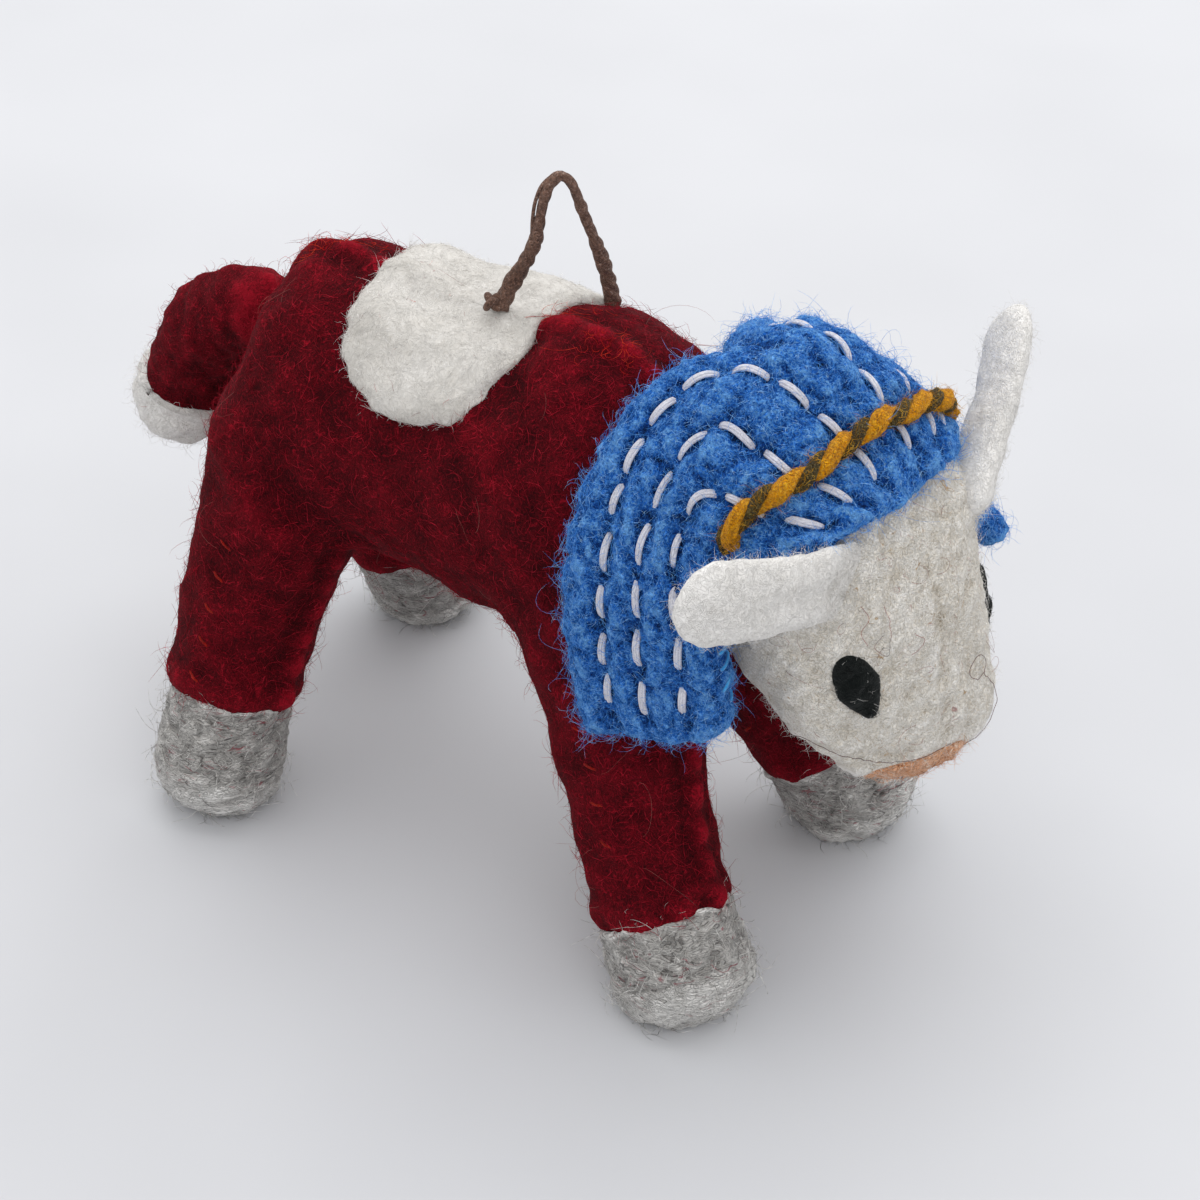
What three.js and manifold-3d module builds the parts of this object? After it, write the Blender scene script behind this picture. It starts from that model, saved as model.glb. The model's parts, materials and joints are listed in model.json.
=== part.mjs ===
// A stuffed felt animal on four legs: a red coat, grey hooves, a white saddle patch, a white head
// under a quilted blue headcloth, and a stiff cord loop to hang it by. Millimetres, +X to the nose,
// +Y to its left, +Z up, the origin on the floor under the middle of the animal.

import * as THREE from "three";
import { mergeVertices } from "three/addons/utils/BufferGeometryUtils.js";
import Module from "manifold-3d";

const wasm = await Module();
wasm.setup();

// Cloth and fit
const seamGap = 0.3;
const coatFelt = 2;
const overrun = 120;
const weldDistance = 1e-4;

// Trunk, from the rump to the end of the neck
const trunkLength = 75;
const trunkHalfWidth = 17;
const trunkHalfDepth = 17.4;
const spineHeight = 48.8;
const neckRise = 13;
const rumpRound = 13;
const neckRound = 5;
const bellyStripWidth = 11;

// Legs and hooves
const frontFootX = 36.5;
const frontFootY = 20.4;
const rearFootX = -31.5;
const rearFootY = 24.4;
const shoulderX = 13.5;
const shoulderY = 9.6;
const hipX = -25.5;
const hipY = 10.2;
const legTopHeight = 47;
const frontLegHalfWidth = 7.4;
const rearLegHalfWidth = 7.6;
const thighSwell = 3.6;
const shoulderSwell = 3.2;
const legEndHeight = 2.6;
const legEndRound = 5;
const leftFrontSetback = 2.5;
const leftRearSetback = 4.8;
const frontHoofHeight = 7.8;
const rearHoofHeight = 11.6;
const hoofProud = 0.5;
const hoofRound = 5.5;
const hoofFlat = 0.5;

// Head, from the poll down to the muzzle
const headTopX = 32;
const headTopHeight = 67;
const noseX = 52;
const noseHeight = 28.4;
const headHalfWidth = 13;
const headHalfDepth = 12;
const pollRound = 8;
const muzzleRound = 3.2;
const muzzleTurn = 27;
const headSquareness = 2.5;
const nosePatchWidth = 12.4;
const nosePatchHeight = 3;
const nosePatchFelt = 0.9;
const eyeHeight = 6.6;
const eyeWidth = 4.3;
const eyeFelt = 0.8;
const eyeLean = 12;

// Ears
const earLength = 21;
const earHalfWidth = 4.6;
const earHalfThickness = 1.9;
const earSetback = 5;
const earRootProud = 0.4;
const earRootDrop = 7.6;
const earRise = { right: 5, left: 9.6 };
const earSweep = { right: 5.4, left: 3.2 };
const earTwist = { right: 0, left: 32 };
const earForward = 28;
const earBack = 8;

// Quilted headcloth
const clothLength = 29;
const clothHalfWidth = 22.4;
const clothDrop = 39;
const clothSetback = 3;
const clothRise = 9;
const clothThickness = 4.4;
const quiltPuff = 1;
const leftLappetFlare = 9;
const threadDiameter = 0.9;
const threadLift = 0.45;
const bandDiameter = 2.4;
const bandLift = 0.75;

// Saddle patch
const patchLength = 34;
const patchWidth = 20.5;
const patchFelt = 1.6;
const patchX = -6;
const patchTurn = 45;
const patchSquareness = 2.8;

// Tail
const tailLength = 26;
const tailHalfWidth = 4.9;
const tailHalfThickness = 5;
const tailRootX = -36.5;
const tailRootHeight = 56.5;
const tailTipLength = 7;
const tailTipProud = 0.7;
const tailLift = 40;
const tailDrop = 6;

// Hanging loop
const cordDiameter = 1.6;
const cordSides = 8;
const loopSwing = 45;

// Facets
const trunkSteps = 10;
const trunkSides = 18;
const legSteps = 5;
const legSides = 10;
const headSteps = 6;
const headSides = 14;
const smallSides = 10;
const ovalSides = 20;
const roundSteps = 3;
const hoofSteps = 2;
const earSteps = 4;
const tailSteps = 6;
const clothRows = 11;
const threadSides = 4;
const threadSteps = 14;
const bandSteps = 20;
const loopSteps = 20;

const degrees = THREE.MathUtils.degToRad;
const along = (x, y, z) => new THREE.Vector3(x, y, z);
const yAxis = along(0, 1, 0);

// A geometry with its shared corners joined into one closed surface.
function joined(geometry) {
  const bare = geometry.clone();
  bare.deleteAttribute("normal");
  bare.deleteAttribute("uv");
  return mergeVertices(bare, weldDistance);
}

// Closed meshes as solids, and back. A solid is cut and joined; a geometry is shown.
function solidOf(geometry) {
  const merged = joined(geometry);
  return new wasm.Manifold(
    new wasm.Mesh({
      numProp: 3,
      vertProperties: new Float32Array(merged.attributes.position.array),
      triVerts: new Uint32Array(merged.index.array),
    }),
  );
}

function geometryOf(solid) {
  const mesh = solid.getMesh();
  const geometry = new THREE.BufferGeometry();
  geometry.setAttribute("position", new THREE.BufferAttribute(mesh.vertProperties, 3));
  geometry.setIndex(new THREE.BufferAttribute(mesh.triVerts, 1));
  return geometry;
}

// The same closed surface moved out along its own normals; a negative distance moves it in.
function grown(geometry, distance) {
  const moved = joined(geometry);
  moved.computeVertexNormals();
  const places = moved.attributes.position;
  const normals = moved.attributes.normal;
  for (let i = 0; i < places.count; i++) {
    places.setXYZ(
      i,
      places.getX(i) + normals.getX(i) * distance,
      places.getY(i) + normals.getY(i) * distance,
      places.getZ(i) + normals.getZ(i) * distance,
    );
  }
  moved.deleteAttribute("normal");
  return moved;
}

// One closed surface over a row of rings. Each end is a fan to a given point, or, with no point,
// a ladder of faces between the two sides of a flat ring.
function skin(rings, startPoint, endPoint) {
  const count = rings[0].length;
  const points = rings.flat();
  const faces = [];
  const at = (ring, side) => ring * count + (side % count);
  for (let ring = 0; ring + 1 < rings.length; ring++) {
    for (let side = 0; side < count; side++) {
      const [a, b] = [at(ring, side), at(ring, side + 1)];
      const [c, d] = [at(ring + 1, side + 1), at(ring + 1, side)];
      faces.push(a, b, c, a, c, d);
    }
  }
  const close = (ring, point, forward) => {
    const face = (a, b, c) => faces.push(...(forward ? [a, b, c] : [a, c, b]));
    if (point) {
      points.push(point);
      for (let side = 0; side < count; side++) {
        face(points.length - 1, at(ring, side), at(ring, side + 1));
      }
      return;
    }
    for (let side = 0; side < count / 2; side++) {
      const [a, b] = [at(ring, side), at(ring, side + 1)];
      const [c, d] = [at(ring, count - side - 1), at(ring, count - side)];
      if (a !== d) face(a, b, d);
      if (b !== c) face(b, c, d);
    }
  };
  close(0, startPoint, false);
  close(rings.length - 1, endPoint, true);
  const geometry = new THREE.BufferGeometry().setFromPoints(points);
  return geometry.setIndex(faces);
}

// A value read smoothly from a short row of values, at a share of its length.
function read(values, share) {
  const row = values.map((value, i) => new THREE.Vector2(i, value));
  return new THREE.SplineCurve(row).getPoint(share).y;
}

// A point of an oval of unit half width and height, squarer with a higher squareness.
function ovalPoint(angle, squareness) {
  return [Math.cos(angle), Math.sin(angle)].map(
    (value) => Math.sign(value) * Math.abs(value) ** (2 / squareness),
  );
}

// A swelling, tapering body along a centre line. Its section is an oval, squarer with a higher
// squareness; its ends round off over the lengths given, or stay flat where that is zero.
function form({ centres, halfWidths, halfDepths, steps, sides, startRound, endRound, ...more }) {
  const { across = yAxis, squareness = 2, turn = 0 } = more;
  const line = new THREE.CatmullRomCurve3(centres);
  const length = line.getLength();
  const places = [];
  const quarter = Math.PI / 2;
  for (let i = 1; i < roundSteps && startRound; i++) {
    places.push(startRound * (1 - Math.cos((i / roundSteps) * quarter)));
  }
  for (let i = 0; i <= steps; i++) {
    places.push(startRound + ((length - startRound - endRound) * i) / steps);
  }
  for (let i = roundSteps - 1; i > 0 && endRound; i--) {
    places.push(length - endRound * (1 - Math.cos((i / roundSteps) * quarter)));
  }
  const rings = places.map((place) => {
    const share = place / length;
    const centre = line.getPointAt(share);
    const tangent = line.getTangentAt(share);
    const up = new THREE.Vector3().crossVectors(tangent, across).normalize();
    const side = new THREE.Vector3().crossVectors(up, tangent);
    side.applyAxisAngle(tangent, degrees(turn * share));
    up.applyAxisAngle(tangent, degrees(turn * share));
    const fromStart = startRound ? Math.min(1, place / startRound) : 1;
    const fromEnd = endRound ? Math.min(1, (length - place) / endRound) : 1;
    const round = Math.sqrt(1 - (1 - Math.min(fromStart, fromEnd)) ** 2);
    const wide = read(halfWidths, share) * round;
    const deep = read(halfDepths, share) * round;
    return Array.from({ length: sides }, (_, i) => {
      const [c, s] = ovalPoint((2 * Math.PI * i) / sides, squareness);
      return centre.clone().addScaledVector(side, c * wide).addScaledVector(up, s * deep);
    });
  });
  return skin(rings, line.getPointAt(0), line.getPointAt(1));
}

// A box between two corners, as a solid.
function block(low, high) {
  const size = high.clone().sub(low);
  const middle = low.clone().add(high).multiplyScalar(0.5);
  const box = new THREE.BoxGeometry(size.x, size.y, size.z);
  return solidOf(box.translate(middle.x, middle.y, middle.z));
}

// A round cord along a line, as a geometry.
function cord(line, diameter, sides, steps) {
  const outline = Array.from({ length: sides }, (_, i) => {
    const angle = (2 * Math.PI * i) / sides;
    return new THREE.Vector2(Math.cos(angle), Math.sin(angle)).multiplyScalar(diameter / 2);
  });
  const round = new THREE.Shape(outline);
  return joined(new THREE.ExtrudeGeometry(round, { steps, extrudePath: line }));
}

// A prism of an oval outline that stands on a point and points along a direction, as a solid.
function ovalPrism({ width, height, depth, place, direction, lean = 0, squareness = 2 }) {
  const outline = Array.from({ length: ovalSides }, (_, i) => {
    const [c, s] = ovalPoint((2 * Math.PI * i) / ovalSides, squareness);
    return new THREE.Vector2((c * width) / 2, (s * height) / 2);
  });
  const options = { depth, bevelEnabled: false };
  const prism = new THREE.ExtrudeGeometry(new THREE.Shape(outline), options);
  prism.translate(0, 0, -depth / 2);
  const pose = new THREE.Object3D();
  pose.up.set(0, 0, 1);
  pose.position.copy(place);
  pose.lookAt(place.clone().add(direction));
  pose.rotateZ(degrees(lean));
  pose.updateMatrix();
  return solidOf(prism.applyMatrix4(pose.matrix));
}

// The space that a piece sweeps when it turns about a line through a point.
function swept(geometry, centre, axis, angles) {
  const turned = angles.map((angle) => {
    const spin = new THREE.Matrix4().makeRotationAxis(axis, degrees(angle));
    const copy = geometry.clone().translate(-centre.x, -centre.y, -centre.z);
    return solidOf(copy.applyMatrix4(spin).translate(centre.x, centre.y, centre.z));
  });
  return turned.reduce((all, next) => all.add(next));
}

// Felt laid on a form: the layer above the form that lies inside a prism.
function layerOn(geometry, felt, prism) {
  const outside = solidOf(grown(geometry, seamGap + felt));
  return outside.intersect(prism).subtract(solidOf(grown(geometry, seamGap)));
}

// Trunk form: the spine rises into the neck.
const spineShares = [
  [-0.5, 0.06],
  [-0.32, 0.08],
  [-0.1, -0.02],
  [0.1, -0.02],
  [0.28, 0.08],
  [0.38, 0.32],
  [0.44, 0.62],
  [0.475, 0.88],
];
const trunkWidthShares = [0.94, 1, 1, 0.97, 0.96, 0.98, 1.02, 0.96, 0.82, 0.68, 0.6];
const trunkDepthShares = [0.98, 1.06, 1.02, 0.97, 0.97, 1, 1.06, 1.02, 0.86, 0.7, 0.58];
const spine = spineShares.map(([x, z]) =>
  along(x * trunkLength, 0, spineHeight + z * neckRise),
);
const trunk = form({
  centres: spine,
  halfWidths: trunkWidthShares.map((share) => share * trunkHalfWidth),
  halfDepths: trunkDepthShares.map((share) => share * trunkHalfDepth),
  startRound: rumpRound,
  endRound: neckRound,
  steps: trunkSteps,
  sides: trunkSides,
});

// Leg forms run from inside the trunk down into the hooves.
const legHeightShares = [1, 0.66, 0.32, 0];
const legSpreadShares = [0, 0.2, 0.58, 1];
const legReachShares = { front: [0, 0.31, 0.61, 1], rear: [0, 0.78, 1.04, 1] };
const legSwellShares = [1, 0.55, 0.14, 0];
const swellWidthShare = 0.6;
const legSeamShare = 0.62;
const legs = [];
for (const [end, footX, footY, topX, topY, halfWidth, swell, setback, hoofHeight] of [
  ["front", frontFootX, frontFootY, shoulderX, shoulderY, frontLegHalfWidth, shoulderSwell,
    leftFrontSetback, frontHoofHeight],
  ["rear", rearFootX, rearFootY, hipX, hipY, rearLegHalfWidth, thighSwell,
    leftRearSetback, rearHoofHeight],
]) {
  for (const [side, sign] of [["right", -1], ["left", 1]]) {
    const reach = footX - topX - (sign > 0 ? setback : 0);
    const spread = footY - topY;
    const centres = legHeightShares.map((share, i) =>
      along(
        topX + reach * legReachShares[end][i],
        sign * (topY + spread * legSpreadShares[i]),
        legEndHeight + (legTopHeight - legEndHeight) * share,
      ),
    );
    const halfWidths = legSwellShares.map((share) => halfWidth + share * swell * swellWidthShare);
    const halfDepths = legSwellShares.map((share) => halfWidth + share * swell);
    const shape = { halfWidths, halfDepths, sides: legSides, startRound: halfWidth };
    const leg = form({ ...shape, centres, endRound: legEndRound, steps: legSteps });
    const line = new THREE.CatmullRomCurve3(centres);
    legs.push({ name: `${end}_${side}`, sign, leg, line, halfWidth, hoofHeight });
  }
}

// A hoof: a felted cup round the end of the leg, from the sock line to a small flat underside.
function hoofForm({ line, halfWidth, hoofHeight }) {
  const foot = line.getPoint(1);
  const ankle = line.getPoint(1 - hoofHeight / (legTopHeight - legEndHeight));
  const direction = foot.clone().sub(ankle).normalize();
  const bottom = foot.clone().addScaledVector(direction, (foot.z + hoofFlat) / -direction.z);
  const wide = halfWidth + hoofProud;
  return form({
    centres: [ankle, ankle.clone().lerp(bottom, 0.5), bottom],
    halfWidths: [wide - hoofProud / 2, wide, wide],
    halfDepths: [wide - hoofProud / 2, wide, wide],
    startRound: 0,
    endRound: hoofRound,
    steps: hoofSteps,
    sides: legSides,
  });
}

// Head form: widest at the brow, narrowing to the muzzle, which turns a little to the right.
const headLineShares = [
  [0, 0],
  [0.2, 0.16],
  [0.4, 0.36],
  [0.66, 0.62],
  [0.87, 0.83],
  [1, 1],
];
const headWidthShares = [0.5, 0.8, 0.97, 1, 1, 0.98, 0.92, 0.78, 0.6];
const headDepthShares = [0.4, 0.68, 0.92, 0.98, 0.95, 0.85, 0.69, 0.52, 0.38];
const head = form({
  centres: headLineShares.map(([x, z]) =>
    along(headTopX + x * (noseX - headTopX), 0, headTopHeight - z * (headTopHeight - noseHeight)),
  ),
  halfWidths: headWidthShares.map((share) => share * headHalfWidth),
  halfDepths: headDepthShares.map((share) => share * headHalfDepth),
  startRound: pollRound,
  endRound: muzzleRound,
  steps: headSteps,
  sides: headSides,
  squareness: headSquareness,
  turn: muzzleTurn,
});

// Ear forms: flat paddles, narrower at the root, rounded at the tip, set on the sides of the head.
const earWidthShares = [0.72, 0.7, 0.82, 0.98, 1.04, 0.96];
const earBendShares = { sweep: 0.2, rise: 0.12 };
const ears = [["right", -1], ["left", 1]].map(([side, sign]) => {
  const root = along(
    noseX - earSetback,
    sign * (headHalfWidth + earRootProud),
    headTopHeight - earRootDrop,
  );
  const reach = Math.sqrt(earLength ** 2 - earRise[side] ** 2 - earSweep[side] ** 2);
  const tip = root.clone().add(along(-earSweep[side], sign * reach, earRise[side]));
  const bend = along(earSweep[side] * earBendShares.sweep, 0, earRise[side] * earBendShares.rise);
  const middle = root.clone().lerp(tip, 0.5).add(bend);
  const direction = tip.clone().sub(root).normalize();
  const broad = along(0, 0, 1).addScaledVector(direction, -direction.z).normalize();
  broad.applyAxisAngle(direction, degrees(earTwist[side] * sign));
  const paddle = form({
    centres: [root, middle, tip],
    halfWidths: earWidthShares.map((share) => share * earHalfWidth),
    halfDepths: earWidthShares.map(() => earHalfThickness),
    across: broad,
    startRound: earHalfThickness,
    endRound: earHalfWidth,
    steps: earSteps,
    sides: smallSides,
  });
  const hinge = root.clone().addScaledVector(direction, earHalfThickness);
  const angles = [-earBack, 0, earForward / 2, earForward].map((angle) => angle * sign);
  const clearance = swept(grown(paddle, seamGap), hinge, broad.clone().negate(), angles);
  return { side, paddle, clearance };
});

// Tail form: a finger of felt that curves down behind the rump.
const tailLineShares = [
  [0, 0],
  [0.3, 0.06],
  [0.56, 0.28],
  [0.66, 0.6],
  [0.78, 0.92],
];
const tailPoints = tailLineShares.map(([x, z]) =>
  along(tailRootX - x * tailLength, 0, tailRootHeight - z * tailLength),
);
const tailWidthShares = [0.86, 1, 1, 1, 0.92];
const tail = form({
  centres: tailPoints,
  halfWidths: tailWidthShares.map((share) => share * tailHalfWidth),
  halfDepths: tailWidthShares.map((share) => share * tailHalfThickness),
  startRound: tailHalfThickness,
  endRound: tailHalfThickness,
  steps: tailSteps,
  sides: smallSides,
});
const tailHinge = tailPoints[0].clone().add(along(-tailHalfThickness, 0, 0));
const tailAngles = [-tailDrop, 0, tailLift / 2, tailLift];
const tailSpace = swept(grown(tail, seamGap), tailHinge, yAxis, tailAngles);

// Headcloth, one half: five guide lines from the front edge back over the crown and down the
// cheek, as shares of its length, half width and drop. The first is the inner edge behind the ear,
// the next three are the stitched channels, the last is the middle line and then the rear edge.
const clothGuideShares = [
  [
    [0.017, 0.607, 0.351], [0.138, 0.688, 0.369], [0.241, 0.732, 0.392], [0.321, 0.754, 0.408],
    [0.366, 0.768, 0.428], [0.393, 0.786, 0.462], [0.407, 0.804, 0.503], [0.403, 0.83, 0.559],
    [0.383, 0.848, 0.636], [0.359, 0.853, 0.738], [0.338, 0.848, 0.897],
  ],
  [
    [0, 0.473, 0.303], [0.155, 0.562, 0.277], [0.3, 0.621, 0.267], [0.434, 0.652, 0.249],
    [0.528, 0.67, 0.256], [0.572, 0.719, 0.31], [0.579, 0.795, 0.405], [0.559, 0.862, 0.492],
    [0.514, 0.906, 0.61], [0.483, 0.92, 0.749], [0.459, 0.911, 0.949],
  ],
  [
    [-0.007, 0.308, 0.282], [0.138, 0.393, 0.223], [0.283, 0.451, 0.187], [0.431, 0.442, 0.154],
    [0.579, 0.455, 0.123], [0.662, 0.562, 0.187], [0.7, 0.701, 0.297], [0.703, 0.844, 0.421],
    [0.669, 0.938, 0.574], [0.645, 0.964, 0.744], [0.6, 0.955, 0.974],
  ],
  [
    [0.003, 0.134, 0.282], [0.152, 0.147, 0.19], [0.3, 0.165, 0.11], [0.469, 0.183, 0.041],
    [0.655, 0.214, 0.028], [0.786, 0.353, 0.087], [0.845, 0.558, 0.187], [0.862, 0.754, 0.338],
    [0.834, 0.915, 0.544], [0.797, 0.978, 0.744], [0.738, 0.982, 0.985],
  ],
  [
    [0.017, -0.04, 0.282], [0.159, -0.04, 0.164], [0.303, -0.04, 0.077], [0.49, -0.04, 0.015],
    [0.745, -0.027, 0.041], [0.91, 0.312, 0.092], [0.979, 0.576, 0.205], [1, 0.786, 0.359],
    [0.983, 0.946, 0.544], [0.952, 1.009, 0.756], [0.89, 1.004, 1.026],
  ],
];
const thicknessShares = [0.5, 0.8, 1, 1, 1, 1, 1, 0.95, 0.9, 0.85, 0.75];
const lappetStartShare = 0.55;
const flareForwardShare = 0.7;
const nearbyShare = 0.01;

// A place on the cloth's outer face in its stitched channels, and its outward normal.
function clothHalf(sign, flare) {
  const guides = clothGuideShares.map(
    (guide) =>
      new THREE.CatmullRomCurve3(
        guide.map(([x, y, z], i) => {
          const past = Math.max(0, i / (guide.length - 1) - lappetStartShare);
          const free = past / (1 - lappetStartShare);
          const push = flare * free ** 2;
          return along(
            noseX - clothSetback - x * clothLength + push * flareForwardShare,
            sign * (y * clothHalfWidth + push),
            headTopHeight + clothRise - z * clothDrop,
          );
        }),
        false,
        "catmullrom",
      ),
  );
  const place = (down, over) => {
    const row = guides.map((guide) => guide.getPoint(down));
    return new THREE.CatmullRomCurve3(row, false, "catmullrom").getPoint(over);
  };
  const normal = (down, over) => {
    const [a, b] = [Math.max(0, down - nearbyShare), Math.min(1, down + nearbyShare)];
    const [c, d] = [Math.max(0, over - nearbyShare), Math.min(1, over + nearbyShare)];
    const lengthwise = place(b, over).sub(place(a, over));
    const crosswise = place(down, d).sub(place(down, c));
    return lengthwise.cross(crosswise).multiplyScalar(sign).normalize();
  };
  const lifted = (down, over, height) =>
    place(down, over).addScaledVector(normal(down, over), height);
  return { place, lifted, sign };
}
const clothHalves = [clothHalf(-1, 0), clothHalf(1, leftLappetFlare)];

// The pad of one half: puffed between its channels outside, smooth inside, rounded at its edges.
function clothPad({ lifted, place, sign }) {
  const columns = 2 * (clothGuideShares.length - 1);
  const rings = [];
  for (let row = 0; row <= clothRows; row++) {
    const down = row / clothRows;
    const thick = clothThickness * read(thicknessShares, down);
    const outer = [];
    const inner = [];
    for (let column = 0; column <= columns; column++) {
      const over = column / columns;
      const midline = column === columns && place(down, 1).y * sign < 0;
      const puff = column % 2 || midline ? quiltPuff : 0;
      outer.push(lifted(down, over, puff));
      inner.push(lifted(down, over, -thick));
    }
    const edge = (over, next) => {
      const middle = lifted(down, over, -thick / 2);
      const outward = middle.clone().sub(lifted(down, next, -thick / 2)).normalize();
      return middle.addScaledVector(outward, quiltPuff);
    };
    const near = edge(0, 1 / columns);
    const far = edge(1, 1 - 1 / columns);
    rings.push([near, ...outer, far, ...inner.reverse()]);
  }
  if (sign > 0) {
    rings.forEach((ring) => ring.reverse());
    rings.forEach((ring) => ring.unshift(ring.pop()));
  }
  return skin(rings);
}

// Running stitches, one thread in each channel.
const threadReachShares = { start: 0.02, end: 0.97 };
const channelLift = threadLift + threadDiameter / 2;
const stitchRows = clothHalves.flatMap(({ lifted }, half) =>
  [3, 2, 1].map((guide, i) => {
    const { start, end } = threadReachShares;
    const over = guide / (clothGuideShares.length - 1);
    const points = Array.from({ length: threadSteps + 1 }, (_, k) =>
      lifted(start + ((end - start) * k) / threadSteps, over, channelLift),
    );
    const line = new THREE.CatmullRomCurve3(points);
    const name = `stitch_row_${["right", "left"][half]}_${i + 1}`;
    return { name, tube: cord(line, threadDiameter, threadSides, threadSteps) };
  }),
);

// Head band, from behind the right ear over the crown to the left ear: shares down and across.
const bandRightShares = [
  [0.47, 0.02],
  [0.36, 0.13],
  [0.26, 0.25],
  [0.2, 0.42],
  [0.16, 0.6],
  [0.135, 0.78],
  [0.12, 0.96],
];
const bandLeftShares = [
  [0.105, 0.8],
  [0.1, 0.6],
  [0.1, 0.42],
  [0.11, 0.24],
  [0.15, 0.07],
];
const bandHeight = bandLift + threadDiameter + bandDiameter / 2;
const bandPoints = [
  ...bandRightShares.map(([down, over]) => clothHalves[0].lifted(down, over, bandHeight)),
  ...bandLeftShares.map(([down, over]) => clothHalves[1].lifted(down, over, bandHeight)),
];
const band = cord(new THREE.CatmullRomCurve3(bandPoints), bandDiameter, cordSides, bandSteps);

// Hanging loop: the route of the cord, out of the ridge, up and back down past it.
const loopRoute = [
  [-4, -0.4, 67.8],
  [-3.9, 0.1, 69],
  [-3.6, 0.8, 70.4],
  [-3, 1.7, 72],
  [-1.9, 2, 74.2],
  [-1, 2.2, 76.6],
  [-0.6, 2.4, 79],
  [-0.3, 2.7, 81.2],
  [0.2, 3.2, 83.2],
  [1, 4, 84.2],
  [1.8, 4.9, 83.2],
  [2.2, 5.6, 81.2],
  [2.6, 6.4, 78.6],
  [3.1, 7.3, 75.8],
  [3.6, 8.2, 72.8],
  [3.9, 9, 69.8],
  [4, 9.7, 66.8],
  [4, 10.1, 64.2],
].map(([x, y, z]) => along(x, y, z));
const loop = cord(new THREE.CatmullRomCurve3(loopRoute), cordDiameter, cordSides, loopSteps);
const loopAxis = loopRoute.at(-1).clone().sub(loopRoute[0]).normalize();
const loopAngles = [-loopSwing, -loopSwing / 2, 0, loopSwing / 2, loopSwing];
const loopSpace = swept(grown(loop, seamGap), loopRoute[0], loopAxis, loopAngles);

// Pieces of the finished ornament, by material.
const finishes = {
  coat: { color: "#7d111d", roughness: 0.95, metalness: 0 },
  hoof: { color: "#a9a7a2", roughness: 0.95, metalness: 0 },
  white: { color: "#dedbd6", roughness: 0.95, metalness: 0 },
  black: { color: "#101514", roughness: 0.9, metalness: 0 },
  peach: { color: "#d18a62", roughness: 0.95, metalness: 0 },
  cloth: { color: "#2a66b8", roughness: 0.95, metalness: 0 },
  thread: { color: "#e2e2e8", roughness: 0.6, metalness: 0 },
  yarn: { color: "#c98a1c", roughness: 0.8, metalness: 0 },
  cord: { color: "#3b2822", roughness: 0.5, metalness: 0 },
  filling: { color: "#f0eee8", roughness: 1, metalness: 0 },
};
const ornament = new THREE.Group();
function add(name, geometry, finish) {
  const mesh = new THREE.Mesh(geometry, new THREE.MeshStandardMaterial(finishes[finish]));
  mesh.name = name;
  ornament.add(mesh);
  return mesh;
}

// Space left round each form, and the hollow that its cover encloses.
const around = (geometry) => solidOf(grown(geometry, seamGap));
const hollow = (geometry) => solidOf(grown(geometry, -coatFelt));
const filling = (geometry) => solidOf(grown(geometry, -coatFelt - seamGap));
const rightHalf = block(
  along(-overrun, -overrun, -overrun),
  along(overrun, -seamGap / 2, overrun),
);
const leftHalf = block(
  along(-overrun, seamGap / 2, -overrun),
  along(overrun, overrun, overrun),
);

// Trunk: two side panels that meet at the ridge, a belly strip, and the stuffing.
const sockets = legs.map(({ leg }) => hollow(leg)).reduce((all, next) => all.add(next));
const coat = solidOf(trunk).subtract(hollow(trunk)).subtract(sockets).subtract(tailSpace);
const stripHalf = bellyStripWidth / 2;
const strip = (spare) =>
  block(
    along(hipX - spare, -stripHalf - spare, -overrun),
    along(shoulderX + spare, stripHalf + spare, spineHeight),
  );
const sides = coat.subtract(strip(seamGap));
add("trunk_panel_right", geometryOf(sides.intersect(rightHalf)), "coat");
add("trunk_panel_left", geometryOf(sides.intersect(leftHalf)), "coat");
add("belly_panel", geometryOf(coat.intersect(strip(0))), "coat");
const trunkFilling = filling(trunk).subtract(tailSpace);
add("trunk_stuffing", geometryOf(trunkFilling), "filling");

// Legs: an outer and an inner panel, the stuffing and the hoof.
const trunkSpace = around(trunk);
const headSpace = around(head);
const fillingSpace = solidOf(grown(trunk, -coatFelt));
for (const entry of legs) {
  const { name, sign, leg, line } = entry;
  const hoof = hoofForm(entry);
  const cover = solidOf(leg)
    .subtract(hollow(leg))
    .subtract(trunkSpace)
    .subtract(headSpace)
    .subtract(around(hoof));
  const top = line.getPoint(0);
  const foot = line.getPoint(1);
  const run = foot.clone().sub(top);
  const outward = new THREE.Vector3().crossVectors(run, along(sign, 0, 0)).normalize();
  const plane = top.clone().lerp(foot, legSeamShare).add(along(0, (-sign * coatFelt) / 2, 0));
  const half = (distance) => {
    const box = new THREE.BoxGeometry(overrun, overrun, overrun);
    const pose = new THREE.Object3D();
    pose.up.set(1, 0, 0);
    pose.position.copy(plane).addScaledVector(outward, distance);
    pose.lookAt(pose.position.clone().add(outward));
    pose.updateMatrix();
    const shift = (Math.sign(distance) * overrun) / 2;
    return solidOf(box.translate(0, 0, shift).applyMatrix4(pose.matrix));
  };
  add(`leg_${name}_outer`, geometryOf(cover.intersect(half(seamGap / 2))), "coat");
  add(`leg_${name}_inner`, geometryOf(cover.intersect(half(-seamGap / 2))), "coat");
  const stuffing = filling(leg).subtract(fillingSpace);
  add(`leg_${name}_stuffing`, geometryOf(stuffing), "filling");
  const floor = block(along(-overrun, -overrun, -overrun), along(overrun, overrun, 0));
  const cup = solidOf(hoof).subtract(hollow(leg)).subtract(floor);
  add(`hoof_${name}`, geometryOf(cup), "hoof");
}

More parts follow.
